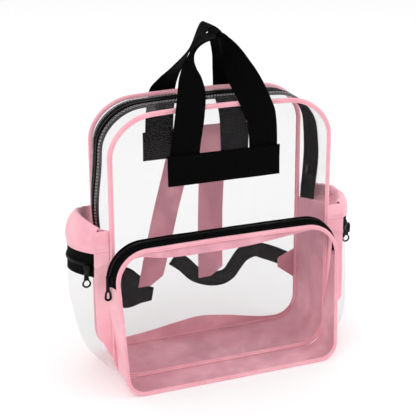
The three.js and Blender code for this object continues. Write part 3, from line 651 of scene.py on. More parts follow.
binding = {
    # inward from the outline and outward from the seam plane, round the folded tape
    "section": [(0.0, 0.0), (0.2, 1.1), (0.8, 2.0), (1.7, 2.5), (2.6, 2.5), (3.3, 2.0), (3.7, 1.35), (4.1, 1.3),
                (4.6, 1.75), (5.4, 1.8), (6.1, 1.5), (6.3, 1.1), (6.0, 0.72), (5.2, 0.7), (5.0, 0.2), (5.0, -0.7),
                (4.8, -1.6), (4.1, -2.2), (3.1, -2.5), (2.0, -2.45), (0.9, -1.9), (0.25, -1.1)],
    "stitchAt": (5.3, 1.82), "pucker": 0.18,
}


def bindingRing(name, sheet, seamPlane, facing, node, seed, broad=1.0):
    count = 300
    line = outline(sheet, count)
    section = binding["section"]
    edges = []
    for index in range(count):
        before, after = line[index - 1], line[(index + 1) % count]
        along = (after - before).normalized()
        edges.append(Vector((-along.y, along.x)))

    def place(u, v):
        index = int(round(u * count)) % count
        inward, outward = section[int(round(v * len(section))) % len(section)]
        inward *= broad
        point, edge = line[index], edges[index]
        gather = binding["pucker"] * math.sin(index * 1.35 + 2 * uneven(index, 0, 0, 9, seed)) * clamp(inward / 6)
        swell = 0.35 * uneven(point.x, 0, point.y, 30, seed)
        x = point.x + edge.x * (inward + swell * 0.5)
        z = point.y + edge.y * (inward + swell * 0.5)
        return spot(x, seamPlane(z) + facing * (outward + (gather + swell * 0.3) * clamp(outward)), max(z, 0.2))

    piece = gridPiece(name, count, len(section), place, (1200, 24), closed=True)
    finishPiece(piece, pinkBinding, (node,), 70)
    inward, outward = binding["stitchAt"]
    inward *= broad
    stitches = []
    for index in range(count):
        point, edge = line[index], edges[index]
        x, z = point.x + edge.x * inward, point.y + edge.y * inward
        stitches.append(((x, seamPlane(z) + facing * (outward + 0.12), z), (0, facing, 0)))
    stitchPiece(name + "_stitches", stitches, pinkThread, closed=True)


bindingRing("front_binding", body, lambda z: -body["depth"] / 2, -1, "front_piping", 1.3)
bindingRing("back_binding", body, lambda z: body["depth"] / 2, 1, "back_piping", 4.1)
print("backpack: main sheets and bindings")


# ---- over the arch: two clear strips and the long zip between them

# zipMiddle: the zip's place in depth; open and tape: half its gap and half its tape; foot: its
# clearance over the cloth; sag: how far the sides hang outwards
arch = {"zipMiddle": 14, "open": 10, "tape": 20, "foot": 0.3, "sag": 8}


def archLine(inset, foot, count):
    sheet = smaller(body, inset)
    return overTop(sheet, foot, 4, 150, halfWidth(sheet, foot), count)


# The clear strips and the zip sag outwards where the sides spring from the cloth gusset
def sideSag(x, y, z):
    across = max(math.cos(clamp((y - 8) / 44, -1, 1) * math.pi / 2), 0)
    high = math.exp(-((z - (222 if x < 0 else 262)) / 52) ** 2)
    return arch["sag"] * high * across * ease((abs(x) - 95) / 45) * (1 if x > 0 else -1)


def archBand(name, fromY, toY, columns, rows, inset, wall, lift, seed=0.0):
    lines = {}
    for row in range(rows + 1):
        y = mix(fromY, toY, row / rows)
        lines[row] = (y, archLine(sideInset(y) + inset, gussetTop(y) + arch["foot"], columns + 1))

    def place(u, v):
        y, line = lines[int(round(v * rows))]
        index = int(round(u * columns))
        point = line[index]
        out = leftOf(line, index) * lift(u, (y - fromY) / (toY - fromY), point, y, seed)
        return spot(point.x + out.x + sideSag(point.x, y, point.y), y, point.y + out.y)

    return gridPiece(name, columns, rows, place, (830, abs(toY - fromY)), wall, -1)


def stripLift(u, v, point, y, seed):
    corner = math.exp(-((abs(point.x) - 125) / 34) ** 2) * clamp((point.y - 240) / 60)
    ripple = math.sin(u * 150 + 2.2 * math.sin(v * 2 + u * 9)) * (0.25 + 0.75 * corner)
    ripple += 1.4 * uneven(point.x, y, point.y, 22, seed + 2)
    edge = math.sin(math.pi * clamp(v)) ** 0.7
    return edge * (0.45 * ripple + 0.3 * math.sin(u * 61 + 1))


def onArch(y, inset, count=240):
    line = archLine(sideInset(y) + inset, gussetTop(y) + 2, count)
    made = []
    for index, point in enumerate(line):
        out = leftOf(line, index)
        made.append(((point.x + sideSag(point.x, y, point.y), y, point.y), (out.x, 0, out.y)))
    return made


frontStrip = archBand("front_arch_strip", -gussetHalf, arch["zipMiddle"] - arch["open"], 220, 22, 0.2, filmWall,
                      stripLift, 1)
finishPiece(frontStrip, cornerFilm, ("gusset_front_strip",), 60)
backStrip = archBand("back_arch_strip", arch["zipMiddle"] + arch["open"], gussetHalf, 220, 12, 0.2, filmWall,
                     stripLift, 5)
finishPiece(backStrip, cornerFilm, ("gusset_back_strip",), 60)


def tapeLift(u, v, point, y, seed):
    away = abs(y - arch["zipMiddle"])
    return 1.1 * math.exp(-(away / 3.4) ** 2) + 0.25 * uneven(point.x, y, point.y, 40, 7)


zipTape = archBand("arch_zip_tape", arch["zipMiddle"] - arch["tape"], arch["zipMiddle"] + arch["tape"], 220, 26,
                   1.6, 0.9, tapeLift)
finishPiece(zipTape, tape, ("main_zip",), 60)
zipLine = [(place, up, (0, 1, 0)) for place, up in onArch(arch["zipMiddle"], 0.9)]
coilPiece("arch_zip_coil", zipLine)
for name, y in (("front_arch_stitches_inner", 2.2), ("front_arch_stitches_outer", -2.4),
                ("back_arch_stitches", 25.8)):
    stitchPiece(name, onArch(y, -0.35), sewingThread(name + "Thread", "#e9e4e6"), 3.0, 1.3, 0.5)
print("backpack: arch strips and zip")


# ---- pink cloth gusset down both sides and under the base

gusset = {"columns": 260, "rows": 30}


def gussetLine(y, count):
    def half(z):
        return halfWidth(body, z) - sideInset(y)

    return underBase(half, body["baseRound"], gussetTop(y), 12, 12, count)


def addGusset():
    columns, rows = gusset["columns"], gusset["rows"]
    lines = []
    for row in range(rows + 1):
        y = mix(-gussetHalf, gussetHalf, row / rows)
        lines.append((y, gussetLine(y, columns + 1)))

    def place(u, v):
        y, line = lines[int(round(v * rows))]
        index = int(round(u * columns))
        point, inward = line[index], leftOf(line, index)
        low = 1 + 1.4 * clamp((60 - point.y) / 40)
        fold = low * (1.9 * uneven(point.x, y, point.y, 34, 2) + 0.9 * uneven(point.x, y * 2, point.y, 14, 5))
        fold = max(fold + 0.35, 0) * math.sin(math.pi * v) ** 0.6
        sag = sideSag(point.x, y, point.y) * clamp((point.y - 90) / 90)
        return spot(point.x + inward.x * fold + sag, y, point.y + inward.y * fold)

    piece = gridPiece("side_and_base_gusset", columns, rows, place, (690, 85), clothWall, 1)
    middle = spot(0, 0, 150)

    def inwards(centre, normal):
        toMiddle = Vector((middle.x - centre.x, 0, 0)) if centre.z > 0.03 else Vector((0, 0, 1))
        if 0.004 < centre.z < 0.03:
            toMiddle = Vector((middle.x - centre.x, 0, 0)).normalized() + Vector((0, 0, 1))
        return normal.dot(toMiddle) > 0.2 * toMiddle.length

    # faces turned into the bag take the pink drawn darker as painted shade
    finishPiece(piece, pinkCloth, ("lower_gusset",), 70, pinkShadedSide, inwards)


addGusset()

hem = {"wave": [(-0.96, 0.3), (-0.75, 0.42), (-0.5, 0.58), (-0.22, 0.86), (0, 1), (0.26, 0.78), (0.5, 0.42),
                (0.7, 0.18), (0.96, 0.16)], "height": 22}


def addHem():
    def place(u, v):
        side = mix(hem["wave"][0][0], -hem["wave"][0][0], u)
        low = lowEdge(panelSheet, side)
        z = low + v * hem["height"] * reading(hem["wave"], side)
        x = side * halfWidth(panelSheet, z)
        fold = 0.7 * uneven(x, 0, z, 24, 6) * v
        return spot(x, panelSwell(x, z) - 1.6 - max(fold, 0), z)

    piece = gridPiece("back_base_hem", 90, 8, place, (280, 20), 1.2, 1)
    # the whole hem is in the pink drawn darker as painted shade
    finishPiece(piece, pinkShadedSide, ("back_base_band",), 70)


addHem()
print("backpack: gusset and hem")


# ---- front pocket

def addPocketFace():
    def place(u, v):
        side = math.sin((u - 0.5) * math.pi)
        z = mix(lowEdge(faceSheet, side), highEdge(faceSheet, side), v)
        x = side * halfWidth(faceSheet, z)
        loose = pillow(side, v) ** 0.6
        wave = uneven(x, 0, z, 80, 9) + 0.4 * uneven(x, 0, z, 32, 4)
        return spot(x, pocketSwell(z, side, v) + 0.25 - 0.7 * wave * loose, z)

    piece = gridPiece("pocket_sheet", 90, 60, place, (290, 180), filmWall, -1)
    finishPiece(piece, pocketFilm, ("pocket_face",), 60)


addPocketFace()
bindingRing("pocket_binding", pocket, pocketPlane, -1, "pocket_piping", 7.7, 0.88)

pocketZip = {"end": 142, "coil": 0.42, "rise": 6.2}


def cornerHalf(sheet, z):
    past = max(z - (sheet["height"] - sheet["topRound"] - sheet["crown"]), 0)
    return halfWidth(sheet, z) - sheet["topRound"] + math.sqrt(max(sheet["topRound"] ** 2 - past ** 2, 0))


def pocketArch(inset, foot, count):
    sheet = smaller(pocket, inset)
    return overTop(sheet, foot, 3, 90, cornerHalf(sheet, foot), count)


def pocketDepthY(x, z, share):
    return mix(-clearOfBody(x, z) - 0.2, pocketPlane(z) + body["ring"] / 2 + 0.4, share)


def addPocketZip():
    columns, rows = 200, 18
    line = pocketArch(1.6, pocketZip["end"], columns + 1)

    def place(u, v):
        index = int(round(u * columns))
        point, out = line[index], leftOf(line, index)
        lift = 1.0 * math.exp(-((v - pocketZip["coil"]) / 0.13) ** 2) + 0.4 * uneven(point.x, v * 20, point.y, 30, 3)
        lift += pocketZip["rise"] * (1 - v) + 0.6
        x, z = point.x + out.x * lift, point.y + out.y * lift
        return spot(x, pocketDepthY(x, z, v), z)

    piece = gridPiece("pocket_zip_tape", columns, rows, place, (350, 22), 1.0, 1)
    finishPiece(piece, tape, ("pocket_zip",), 60)
    teeth = []
    for index in range(0, columns + 1, 2):
        out = leftOf(line, index)
        point = line[index] + out * (1.75 + pocketZip["rise"] * (1 - pocketZip["coil"]))
        teeth.append(((point.x, pocketDepthY(point.x, point.y, pocketZip["coil"]), point.y),
                      (out.x, 0, out.y), (0, 1, 0)))
    coilPiece("pocket_zip_coil", teeth, 2.2, 4.6, 1.0)


addPocketZip()


def addPocketGusset():
    columns, rows = 200, 16
    inset = 1.4

    def half(z):
        return halfWidth(pocket, z) - inset

    line = underBase(half, pocket["baseRound"], pocketZip["end"] - 0.3, 10, 8, columns + 1)

    def place(u, v):
        index = int(round(u * columns))
        point, inward = line[index], leftOf(line, index)
        fold = 1.6 * uneven(point.x, v * 40, point.y, 26, 8) + 0.7 * uneven(point.x, v * 40, point.y, 12, 1)
        fold = max(fold + 0.3, 0) * math.sin(math.pi * v) ** 0.7
        fold -= (pocketZip["rise"] * (1 - v) + 0.4) * ease((point.y - 40) / 90)
        x, z = point.x + inward.x * fold, point.y + inward.y * fold
        return spot(x, pocketDepthY(x, z, v), z)

    piece = gridPiece("pocket_side_gusset", columns, rows, place, (560, 38), clothWall, -1)
    middle = spot(0, 0, 90)

    def inwards(centre, normal):
        toMiddle = Vector((middle.x - centre.x, 0, 0)).normalized()
        if centre.z < 0.02:
            toMiddle = Vector((0, 0, 1)) + (toMiddle if centre.z > 0.004 else Vector((0, 0, 0)))
        return normal.dot(toMiddle) > 0.2

    # faces turned into the pocket take the pink drawn darker as painted shade
    finishPiece(piece, pinkCloth, ("pocket_gusset",), 70, pinkShadedSide, inwards)


addPocketGusset()

facing = {"height": 13, "end": 0.87,
          "drop": [(-0.87, 0.1), (-0.6, 0.84), (-0.2, 1), (0.2, 0.9), (0.55, 0.5), (0.87, 0.1)]}


def addFacing():
    def place(u, v):
        side = mix(-facing["end"], facing["end"], u)
        low, high = lowEdge(faceSheet, side), highEdge(faceSheet, side)
        z = high - v * facing["height"] * reading(facing["drop"], side)
        rise = (z - low) / (high - low)
        return spot(side * halfWidth(faceSheet, z), pocketSwell(z, side, rise) + 1.6, z)

    piece = gridPiece("pocket_facing_tape", 80, 6, place, (250, 10), 1.0, 1)
    # the facing tape is all in the pink drawn darker as painted shade
    finishPiece(piece, pinkShadedSide, ("pocket_facing",), 70)


addFacing()
print("backpack: front pocket")


# ---- side pockets: clear bag, curved zip, gathered cloth hood and a flat strip in front

sidePockets = {
    # plan: share of the depth along the side from front to back; bag: share of that depth going up
    "left": {"hand": -1, "foot": 11, "hood": 43,
             "plan": [(0, 0.42), (0.12, 0.66), (0.28, 0.88), (0.45, 1), (0.62, 0.99), (0.8, 0.78), (0.93, 0.36),
                      (1, 0.01)],
             "bag": [(0, 0.14), (0.05, 0.34), (0.2, 0.6), (0.36, 0.76), (0.52, 0.88), (0.74, 0.98), (1, 1.02)]},
    "right": {"hand": 1, "foot": 5, "hood": 33,
              "plan": [(0, 0.52), (0.12, 0.82), (0.28, 1), (0.45, 1.01), (0.62, 0.94), (0.8, 0.72), (0.93, 0.34),
                       (1, 0.01)],
              "bag": [(0, 0.72), (0.07, 0.95), (0.16, 1.01), (0.3, 1.04), (0.55, 1.03), (0.8, 1), (1, 0.98)]},
    # section of the hood: share across, how far out, how high on the rim, how near the seam
    "hood": [(0, 0.01, 0, 1), (0.14, 0.2, -0.1, 0.72), (0.28, 0.4, 0.5, 0.4), (0.42, 0.6, 0.95, 0.05),
             (0.57, 0.8, 0.9, 0), (0.71, 0.95, 0.62, 0), (0.86, 1.01, 0.3, 0), (1, 0.99, 0, 0)],
    "out": 43, "zipFoot": 150, "zipHeight": 31, "sag": 0.18,
}


def sideY(along):
    return mix(-gussetHalf + 0.3, gussetHalf - 0.3, along)


def gussetSide(z, y):
    below = max(body["baseRound"] - z, 0)
    return (halfWidth(body, z) - sideInset(y) - body["baseRound"]
            + math.sqrt(max(body["baseRound"] ** 2 - below ** 2, 0)))


def addSidePocket(name):
    made = sidePockets[name]
    hand = made["hand"]
    zipTop = sidePockets["zipFoot"] + sidePockets["zipHeight"]

    def plan(along):
        return sidePockets["out"] * reading(made["plan"], along)

    def skin(along, z, out, lift=0.0):
        return (hand * (gussetSide(z, sideY(along)) + 1.8 + plan(along) * out + lift * clamp(plan(along) / 20)),
                sideY(along), z)

    def bagPlace(u, v):
        z = mix(made["foot"], sidePockets["zipFoot"], v ** 1.25)
        out = reading(made["bag"], v ** 1.25)
        foot = clamp(v * 14)
        lift = 1.0 * uneven(u * 90, 0, z, 40, 3 + hand) + 0.5 * uneven(u * 90, 0, z, 17, 5)
        return spot(*skin(u, z, out * foot, lift * clamp(v * 3) - 0.6))

    bag = gridPiece(name + "_bag_sheet", 60, 60, bagPlace, (105, 160), filmWall, hand)
    finishPiece(bag, clearFilm, (name + "_pocket_body",), 60)
    zipOut, hoodOut = made["bag"][-1][1], sidePockets["hood"][-1][1]

    def zipPlace(u, v):
        z = mix(sidePockets["zipFoot"] - 0.5, zipTop - 0.4, v)
        lift = 1.0 * math.exp(-((v - 0.5) / 0.09) ** 2) + 0.3 * uneven(u * 90, 0, z, 30, 2)
        return spot(*skin(u, z, mix(zipOut, hoodOut, v), lift - 0.9))

    zipPiece = gridPiece(name + "_side_zip_tape", 50, 30, zipPlace, (105, 31), 0.8, -hand)
    finishPiece(zipPiece, tape, (name + "_pocket_zip",), 60)
    teeth = []
    for step in range(1, 40):
        u = mix(0.02, 0.97, step / 40)
        z = mix(sidePockets["zipFoot"], zipTop, 0.5)
        here = Vector(skin(u, z, mix(zipOut, hoodOut, 0.5), 0.2))
        ahead = Vector(skin(u + 0.02, z, mix(zipOut, hoodOut, 0.5), 0.2)) - here
        up = ahead.cross(Vector((0, 0, 1))).normalized() * hand
        if up.x * hand < 0:
            up = -up
        teeth.append((tuple(here), tuple(up), (0, 0, 1)))
    coilPiece(name + "_side_zip_coil", teeth, 2.2, 5.0, 1.1)

    def seamTop(along):
        return gussetTop(sideY(along)) - 1.5

    def rimTop(along):
        return zipTop + made["hood"] * (1 - sidePockets["sag"] * (1 - math.sin(math.pi * along)))

    def hoodPlace(u, v):
        section = sidePockets["hood"]
        out, rimShare, fall = (reading(section, v, column) for column in (1, 2, 3))
        z = mix(zipTop + (rimTop(u) - zipTop) * rimShare, seamTop(u), clamp(fall))
        gather = math.sin(u * 44 + 3 * math.sin(u * 7 + hand) + 1.6 * v) * math.sin(math.pi * clamp(v * 1.02)) ** 0.8
        crease = 0.75 * gather + 1.5 * uneven(u * 80, v * 30, hand * 9, 17, 6)
        lift = crease * math.sin(math.pi * clamp(u)) ** 0.5 * clamp(v * 3) * clamp((1 - v) * 6)
        x, y, height = skin(u, z, out, lift - 0.3)
        return spot(x, y, height + 0.9 * lift * (1 - clamp(v * 1.6 - 0.6)))

    hood = gridPiece(name + "_hood_cloth", 90, 48, hoodPlace, (120, 70), 1.2, hand)

    def inwards(centre, normal):
        x = (centre.x - originX) * 1000
        return normal.x * hand < -0.1 and abs(x) > 160 and normal.z < 0.5

    # faces of the hood turned in against the body take the pink drawn darker as painted shade
    finishPiece(hood, pinkCloth, (name + "_pocket_hood",), 80, pinkShadedSide, inwards)

    heights = [(38, 0), (60, 1), (90, 1), (120, 1), (150, 1), (zipTop, 0.98), (mix(zipTop, rimTop(0), 0.3), 0.98),
               (mix(zipTop, rimTop(0), 0.62), 0.94), (mix(zipTop, rimTop(0), 0.84), 0.8)]

    def stripOut(z):
        if z <= sidePockets["zipFoot"]:
            return reading(made["bag"], z / sidePockets["zipFoot"]) * clamp((z - 38) / 28)
        return reading([(150, zipOut)] + heights[5:], z)

    def stripFront(z, reach):
        return ((hand * (halfWidth(body, z) + 0.3 + reach), -gussetHalf - 1.75, z), (0, -1, 0))

    def stripPlace(u, v):
        z = mix(heights[0][0], heights[-1][0], v)
        reach = u * (1.5 + plan(0) * stripOut(z))
        fold = 0.5 * uneven(u * 20, 0, z, 24, 4) - 1.1 * math.exp(-((z - 185) / 1.5) ** 2)
        fold += 1.2 * math.exp(-((z - 168 + u * 5) / 1.8) ** 2) - 0.7 * math.exp(-((z - 163 + u * 5) / 2) ** 2)
        return spot(hand * (halfWidth(body, z) + 0.3 + reach), -gussetHalf - 0.2 - fold * min(u * 3, 1), z)

    strip = gridPiece(name + "_front_strip_cloth", 12, 90, stripPlace, (22, 165), 1.3, hand)
    finishPiece(strip, pinkCloth, (name + "_pocket_strip",), 70)
    row = [(tuple(Vector(skin(step / 60, zipTop + 2.2, hoodOut, 0.1)) + Vector((hand * 0.4, 0, 0))), (hand, -0.2, 0))
           for step in range(3, 56)]
    stitchPiece(name + "_hood_stitches", row, pinkThread)
    heightsUp = [mix(60, zipTop + 14, step / 59) for step in range(60)]
    edgeLine = [stripFront(z, 1.5 + plan(0) * stripOut(z) - 2.6) for z in heightsUp]
    stitchPiece(name + "_strip_stitches", edgeLine, pinkThread)
    seam = []
    for step in range(12):
        (x, y, z), up = stripFront(zipTop, mix(0.6, 1.5 + plan(0) * stripOut(zipTop) - 0.6, step / 11))
        seam.append(((x, y, z + 1.5), up))
    stitchPiece(name + "_strip_seam", seam, sewingThread(name + "SeamThread", "#d58a9b"))


addSidePocket("left")
addSidePocket("right")
print("backpack: side pockets")


# ---- webbing and straps

# Sections (centre, across, spread) joined by a smooth curve and drawn as a band
def bandPiece(name, sections, width, wall, columns=110, rows=12, grow=1, edge=0.35):
    centres = [Vector(section[0]) for section in sections]
    acrosses = [Vector(section[1]) for section in sections]
    spreads = [section[2] if len(section) > 2 else 1.0 for section in sections]
    reach = runOf(centres)
    table = list(zip(reach, centres, acrosses, spreads))

    def place(u, v):
        at = u * reach[-1]
        centre = reading(table, at, 1)
        along = (reading(table, min(at + 1, reach[-1])) - reading(table, max(at - 1, 0))).normalized()
        across = reading(table, at, 2)
        across = (across - along * across.dot(along)).normalized()
        normal = along.cross(across)
        share = (v - 0.5) * 2
        dip = edge * (abs(share) ** 6) - 0.4 * uneven(at, share * 6, 0, 26, len(name))
        return spot(*(centre + across * share * width * reading(table, at, 3) / 2 - normal * grow * dip))

    return gridPiece(name, columns, rows, place, (reach[-1], width), wall, grow)


# rows: height share, place in half spans, lean inwards, turn in degrees, from the left foot to the right
handles = {
    "width": 38, "span": 104, "patchTop": 299,
    "front": {"facing": -1, "rise": 137, "lean": 43, "rows": [
        (-0.27, -1.02, 0, 0), (0.03, -0.99, 0, 0), (0.3, -0.92, -0.1, 1), (0.53, -0.84, -0.05, 8),
        (0.68, -0.78, 0.16, 30), (0.79, -0.7, 0.36, 52), (0.88, -0.58, 0.55, 68), (0.95, -0.38, 0.72, 80),
        (0.99, -0.14, 0.82, 87), (0.995, 0.06, 0.82, 88), (0.93, 0.2, 0.6, 78), (0.82, 0.33, 0.38, 62),
        (0.7, 0.45, 0.18, 46), (0.54, 0.62, -0.12, 26), (0.4, 0.78, -0.17, 10), (0.28, 0.92, -0.1, 3),
        (0.03, 1.02, 0, 0), (-0.27, 1.02, 0, 0)]},
    "back": {"facing": 1, "rise": 144, "lean": 21, "rows": [
        (-0.24, -1.04, 0, 0), (0.03, -1.03, 0, 0), (0.25, -0.97, -0.15, 3), (0.4, -0.85, -0.35, 14),
        (0.52, -0.71, -0.1, 30), (0.64, -0.53, 0.36, 46), (0.77, -0.31, 0.7, 62), (0.9, -0.1, 0.94, 78),
        (0.985, 0.06, 1.05, 87), (0.995, 0.16, 1.06, 89), (0.93, 0.31, 1.02, 80), (0.8, 0.51, 0.84, 66),
        (0.66, 0.68, 0.5, 50), (0.5, 0.82, -0.1, 28), (0.34, 0.88, -0.3, 9), (0.18, 0.96, -0.1, 3),
        (0.03, 0.99, 0, 0), (-0.24, 1.02, 0, 0)]},
}


def addHandle(name):
    made = handles[name]
    facing = made["facing"]
    sections = []
    for rise, span, lean, twist in made["rows"]:
        z = handles["patchTop"] + rise * made["rise"]
        x = span * handles["span"] / 2
        base = panelSwell(x, z) + 0.3 if rise < 0.28 else clearOfBody(x, z)
        turn = math.radians(twist)
        inward = -1 if span > 0.1 else 1
        slope = (panelSwell(x + 10, z) - panelSwell(x - 10, z)) / 20
        sections.append(((x, facing * (base - lean * made["lean"]), z),
                         (inward * math.cos(turn), math.sin(turn) + inward * facing * slope, 0)))
    piece = bandPiece(name + "_carry_handle", sections, handles["width"], webbingWall, 150, 12, facing, 0.3)
    finishPiece(piece, webbing, (name + "_handle",), 60)


patches = {"length": 150, "height": 39}


def addPatch(name, facing, off, raised):
    top = handles["patchTop"] + raised
    bottom = top - patches["height"]

    def place(u, v):
        x = mix(-patches["length"] / 2, patches["length"] / 2, u)
        z = mix(bottom, top, v)
        legs = max(math.exp(-((abs(x) - 52) / 20) ** 4), 0)
        sink = 0.9 * (1 - legs) * math.sin(math.pi * v)
        return spot(x, facing * (panelSwell(x, z) + off - min(sink, off - 0.5) + 0.2 * uneven(x, 0, z, 18, 3)), z)

    piece = gridPiece(name + "_webbing_patch", 90, 26, place, (150, 39), webbingWall, -facing)
    finishPiece(piece, webbing, (name + "_handle_patch",), 60)
    lines = {"top": [(-1, 0.91), (1, 0.91)], "foot": [(-1, 0.09), (1, 0.09)]}
    for side in (-1, 1):
        centre = side * 0.7
        lines["box" + str(side + 1)] = [(centre - 0.22, 0.12), (centre + 0.22, 0.12), (centre + 0.22, 0.88),
                                        (centre - 0.22, 0.88), (centre - 0.22, 0.12), (centre + 0.22, 0.88)]
    for label, corners in lines.items():
        row = []
        for first, second in zip(corners, corners[1:]):
            for step in range(12):
                share = step / 12
                x = mix(first[0], second[0], share) * patches["length"] / 2 * 0.97
                z = mix(bottom, top, mix(first[1], second[1], share))
                row.append(((x, facing * (panelSwell(x, z) + off + webbingWall + 0.1), z), (0, facing, 0)))
        stitchPiece(name + "_patch_stitches_" + label, row, blackThread)


addHandle("front")
addHandle("back")
addPatch("front", -1, 2.2, 0)
addPatch("back", 1, 4.0, 3)
print("backpack: handles and patches")

straps = {
    "width": 36, "length": 225, "spacing": 39, "splay": 50, "slack": 8, "show": 6, "footCut": 26, "shift": 2,
    "drop": [(0, 0), (0.2, 0), (0.35, 0.35), (0.55, 0.85), (0.8, 1), (1, 0.9)],
}


# faces turned to the front, towards the bag, which take the pink drawn darker as painted shade
def facesForward(centre, normal):
    return normal.y < -0.2


def strapCentre(hand, fall):
    z = handles["patchTop"] + straps["show"] - fall * straps["length"]
    x = hand * straps["spacing"] / 2 + straps["shift"] + (-straps["splay"] * fall if hand < 0 else 0)
    slack = straps["slack"] * reading(straps["drop"], fall)
    return Vector((x, panelSwell(x, z) + 2.2 + slack, z))


def addStrap(name, hand):
    def place(u, v):
        point = strapCentre(hand, v)
        share = u - 0.5
        x = point.x + share * straps["width"]
        z = point.z + max(share, 0) * straps["footCut"] * v ** 6
        fold = 0.5 * uneven(x, 0, z, 26, 5 + hand) + 0.25 * math.cos(share * math.pi * 2)
        fold += 0.8 * math.exp(-((v - 0.84) / 0.012) ** 2)
        return spot(x, point.y + 0.2 + fold * ease((v - 0.1) * 5), z)

    piece = gridPiece(name + "_shoulder_strap", 18, 110, place, (36, 225), clothWall, -1)
    # the strap's front faces take the pink drawn darker as painted shade
    finishPiece(piece, pinkCloth, (name + "_strap",), 70, pinkShadedSide, facesForward)
    for side in (-1, 1):
        row = []
        for step in range(70):
            fall = mix(0.16, 0.93, step / 69)
            point = strapCentre(hand, fall)
            share = side * 0.42
            row.append(((point.x + share * straps["width"], point.y + 2.0,
                         point.z + max(share, 0) * straps["footCut"] * fall ** 6), (0, 1, 0)))
        stitchPiece(name + "_strap_stitches_" + ("inner" if side < 0 else "outer"), row, pinkThread)


addStrap("left", -1)
addStrap("right", 1)

tabs = {"height": 84, "reach": 28, "length": 48, "inset": 2}


def addTab(name, hand):
    def place(u, v):
        topLift, footLift = mix(0.5, 0.23, u), mix(-0.5, -0.05, u)
        z = tabs["height"] + mix(footLift, topLift, v) * tabs["length"]
        x = halfWidth(body, z) - tabs["inset"] - u * tabs["reach"]
        return spot(hand * x, clearOfBody(x, z) + 0.1, z)

    piece = gridPiece(name + "_corner_tab", 24, 24, place, (28, 48), clothWall, hand)
    # the tab's front faces take the pink drawn darker as painted shade
    finishPiece(piece, pinkCloth, (name + "_tab",), 60, pinkShadedSide, facesForward)


addTab("left", -1)
addTab("right", 1)

tails = {
    "width": 22, "overFoot": 4,
    # across the back, lift in widths, out, tilt, turn, spread
    "right": [(1, 0.3, 0.1, 44, 0, 1), (0.88, 0.64, 0.2, 38, 0, 1), (0.73, 0.98, 0.6, 27, 20, 1),
              (0.6, 1.18, 1, 10, 48, 1), (0.5, 1.1, 1, -32, 30, 1), (0.43, 0.88, 1, -50, 10, 1),
              (0.335, 0.27, 1, -60, 0, 1),
              (0.26, -0.24, 1, -56, 0, 1), (0.16, -0.47, 1, -24, 0, 1), (0, -0.4, 1, 0, 0, 1),
              (-0.19, 0.05, 1, 34, 0, 1), (-0.34, 0.86, 1, 42, 0, 1), (-0.47, 1.4, 1, 42, 0, 1)],
    "left": [(1, 0.35, 0.1, 0, 0, 1), (0.84, 0.42, 0.2, 0, 0, 1.4), (0.62, 0.3, 0.7, 12, 0, 2.1),
             (0.42, -0.45, 1, 8, 0, 2.3), (0.16, -0.72, 1, 4, 0, 1.3), (-0.05, -0.85, 1, 14, 0, 0.85)],
}


def addTail(name, hand):
    end = strapCentre(hand, 1)
    start = hand * (halfWidth(body, tabs["height"]) - tabs["inset"] - tabs["reach"] / 2)
    startY = clearOfBody(abs(start), tabs["height"]) + 1.8
    endY = end.y + 2.4
    sections = []
    for across, lift, out, tilt, turn, spread in tails[name]:
        lean, twist = math.radians(tilt) * hand, math.radians(turn)
        sections.append(((mix(end.x, start, across), mix(startY, endY, out),
                          mix(end.z + tails["overFoot"], tabs["height"], abs(across)) + lift * tails["width"]),
                         (math.sin(lean) * math.cos(twist), math.sin(twist), math.cos(lean) * math.cos(twist)), spread))
    piece = bandPiece(name + "_webbing_tail", sections, tails["width"], 1.5, 120, 8, hand, 0.2)
    finishPiece(piece, webbing, (name + "_adjuster",), 60)


addTail("left", -1)
addTail("right", 1)
print("backpack: straps, tabs and tails")


# ---- zip sliders and pulls: the CAD nodes keep their shapes, with rounded enamelled copies over them

castEdge = 0.0004
pull = {"depth": 2.2, "topWidth": 3.4, "footShare": 0.74, "ringTaper": 0.72, "overlap": 1.2, "edge": 0.0006}


def roundEdges(piece, width, angle=None):
    edge = piece.modifiers.new("edge", "BEVEL")
    edge.width = width
    edge.segments = 3
    if angle:
        edge.limit_method = "ANGLE"
        edge.angle_limit = math.radians(angle)
    bpy.ops.object.modifier_apply(modifier="edge")


def addMetalPart(node):
    source = bpy.data.objects[node]
    piece = bpy.data.objects.new(node + "_cast", source.data.copy())
    bpy.context.scene.collection.objects.link(piece)
    piece.hide_render = False
    selectOnly(piece)
    piece.matrix_world = source.matrix_world
    bpy.ops.object.transform_apply(location=True, rotation=True, scale=True)
    openMesh()
    bpy.ops.mesh.remove_doubles(threshold=0.00001)
    bpy.ops.mesh.tris_convert_to_quads()
    closeMesh()
    roundEdges(piece, castEdge, 35)
    finishPiece(piece, enamel, (node,), 40)


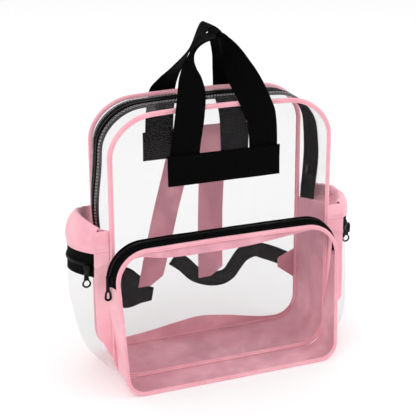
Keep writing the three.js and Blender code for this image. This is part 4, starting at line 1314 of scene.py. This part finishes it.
# A flat pull seen from the front: a tapered bar with a long eye, hanging from the slider's hoop
def addPull(name, node, top, length, width, eye, wire=1.2):
    bpy.ops.object.select_all(action="DESELECT")
    bpy.ops.mesh.primitive_torus_add(major_segments=40, minor_segments=12, major_radius=width / 2000,
                                     minor_radius=wire / 1000, rotation=(math.pi / 2, 0, 0))
    ring = bpy.context.object
    bpy.ops.object.transform_apply(location=False, rotation=True, scale=False)
    low = top[2] - length
    for vertex in ring.data.vertices:
        height = vertex.co.z * 1000 + width / 2
        if height > width / 2:
            height += eye * clamp((height - width / 2) * 2)
            vertex.co.x *= mix(1.0, pull["ringTaper"], clamp((height - width / 2) / (eye + width / 2)))
        vertex.co = spot(top[0] + vertex.co.x * 1000, top[1] + vertex.co.y * 1000, low + height)
    bpy.ops.mesh.primitive_cube_add(size=1)
    bar = bpy.context.object
    for vertex in bar.data.vertices:
        upper = vertex.co.z > 0
        across = pull["topWidth"] if upper else width * pull["footShare"]
        vertex.co = spot(top[0] + vertex.co.x * across, top[1] + vertex.co.y * pull["depth"],
                         top[2] if upper else low + width + eye - pull["overlap"])
    roundEdges(bar, pull["edge"])
    ring.select_set(True)
    bar.select_set(True)
    bpy.context.view_layer.objects.active = ring
    bpy.ops.object.join()
    ring.name = name
    finishPiece(ring, enamel, (node,), 40)


for label in ("pocket_zip", "main_zip", "left_pocket", "right_pocket"):
    addMetalPart(label + "_slider")
addMetalPart("main_zip_pull")
addPull("pocket_front_pull", "pocket_zip_pull", (-158.8, -57.5, 157), 33, 6.6, 5.5, 1.6)
addPull("left_ring_pull", "left_pocket_pull", (-179.5, -33.5, 160), 25, 9.6, 0.5)
addPull("right_ring_pull", "right_pocket_pull", (198.2, -11, 160), 27, 9.6, 0.5)
print("backpack: sliders and pulls")


# ---- floor and light

studio = {"floor": 14, "paper": 0.93, "glow": 0.1, "sky": 0.9, "aim": (0, 0, 0.2)}
# place in metres, size, watts
lamps = {"keyBox": ((-1.4, -2.0, 2.4), 1.6, 16), "fillBox": ((2.0, -1.4, 1.4), 1.8, 8),
         "topBox": ((0.0, 0.6, 2.8), 2.0, 8)}


def addFloor():
    bpy.ops.mesh.primitive_plane_add(size=studio["floor"], location=(0, 0, 0))
    floor = bpy.context.object
    floor.name = "paleFloor"
    material, shader = newFinish("matWhitePaper", {"Roughness": 0.9, "Specular IOR Level": 0.1,
                                                   "Base Color": (*[studio["paper"]] * 3, 1)})
    shader.inputs["Emission Color"].default_value = (1, 1, 1, 1)
    shader.inputs["Emission Strength"].default_value = studio["glow"]
    floor.data.materials.append(material)


def addLight(name, place, size, power):
    bpy.ops.object.light_add(type="AREA", location=place)
    light = bpy.context.object
    light.name = name
    light.data.size = size
    light.data.energy = power
    light.rotation_euler = (Vector(studio["aim"]) - Vector(place)).to_track_quat("-Z", "Y").to_euler()


addFloor()
for name, (place, size, power) in lamps.items():
    addLight(name, place, size, power)
world = bpy.data.worlds.new("whiteStudio")
bpy.context.scene.world = world
world.use_nodes = True
world.node_tree.nodes["Background"].inputs["Color"].default_value = (1, 1, 1, 1)
world.node_tree.nodes["Background"].inputs["Strength"].default_value = studio["sky"]
bpy.context.scene.view_settings.view_transform = "Standard"
bpy.context.scene.cycles.transparent_max_bounces = 48  # many clear walls lie behind each other
print("backpack: floor and light")
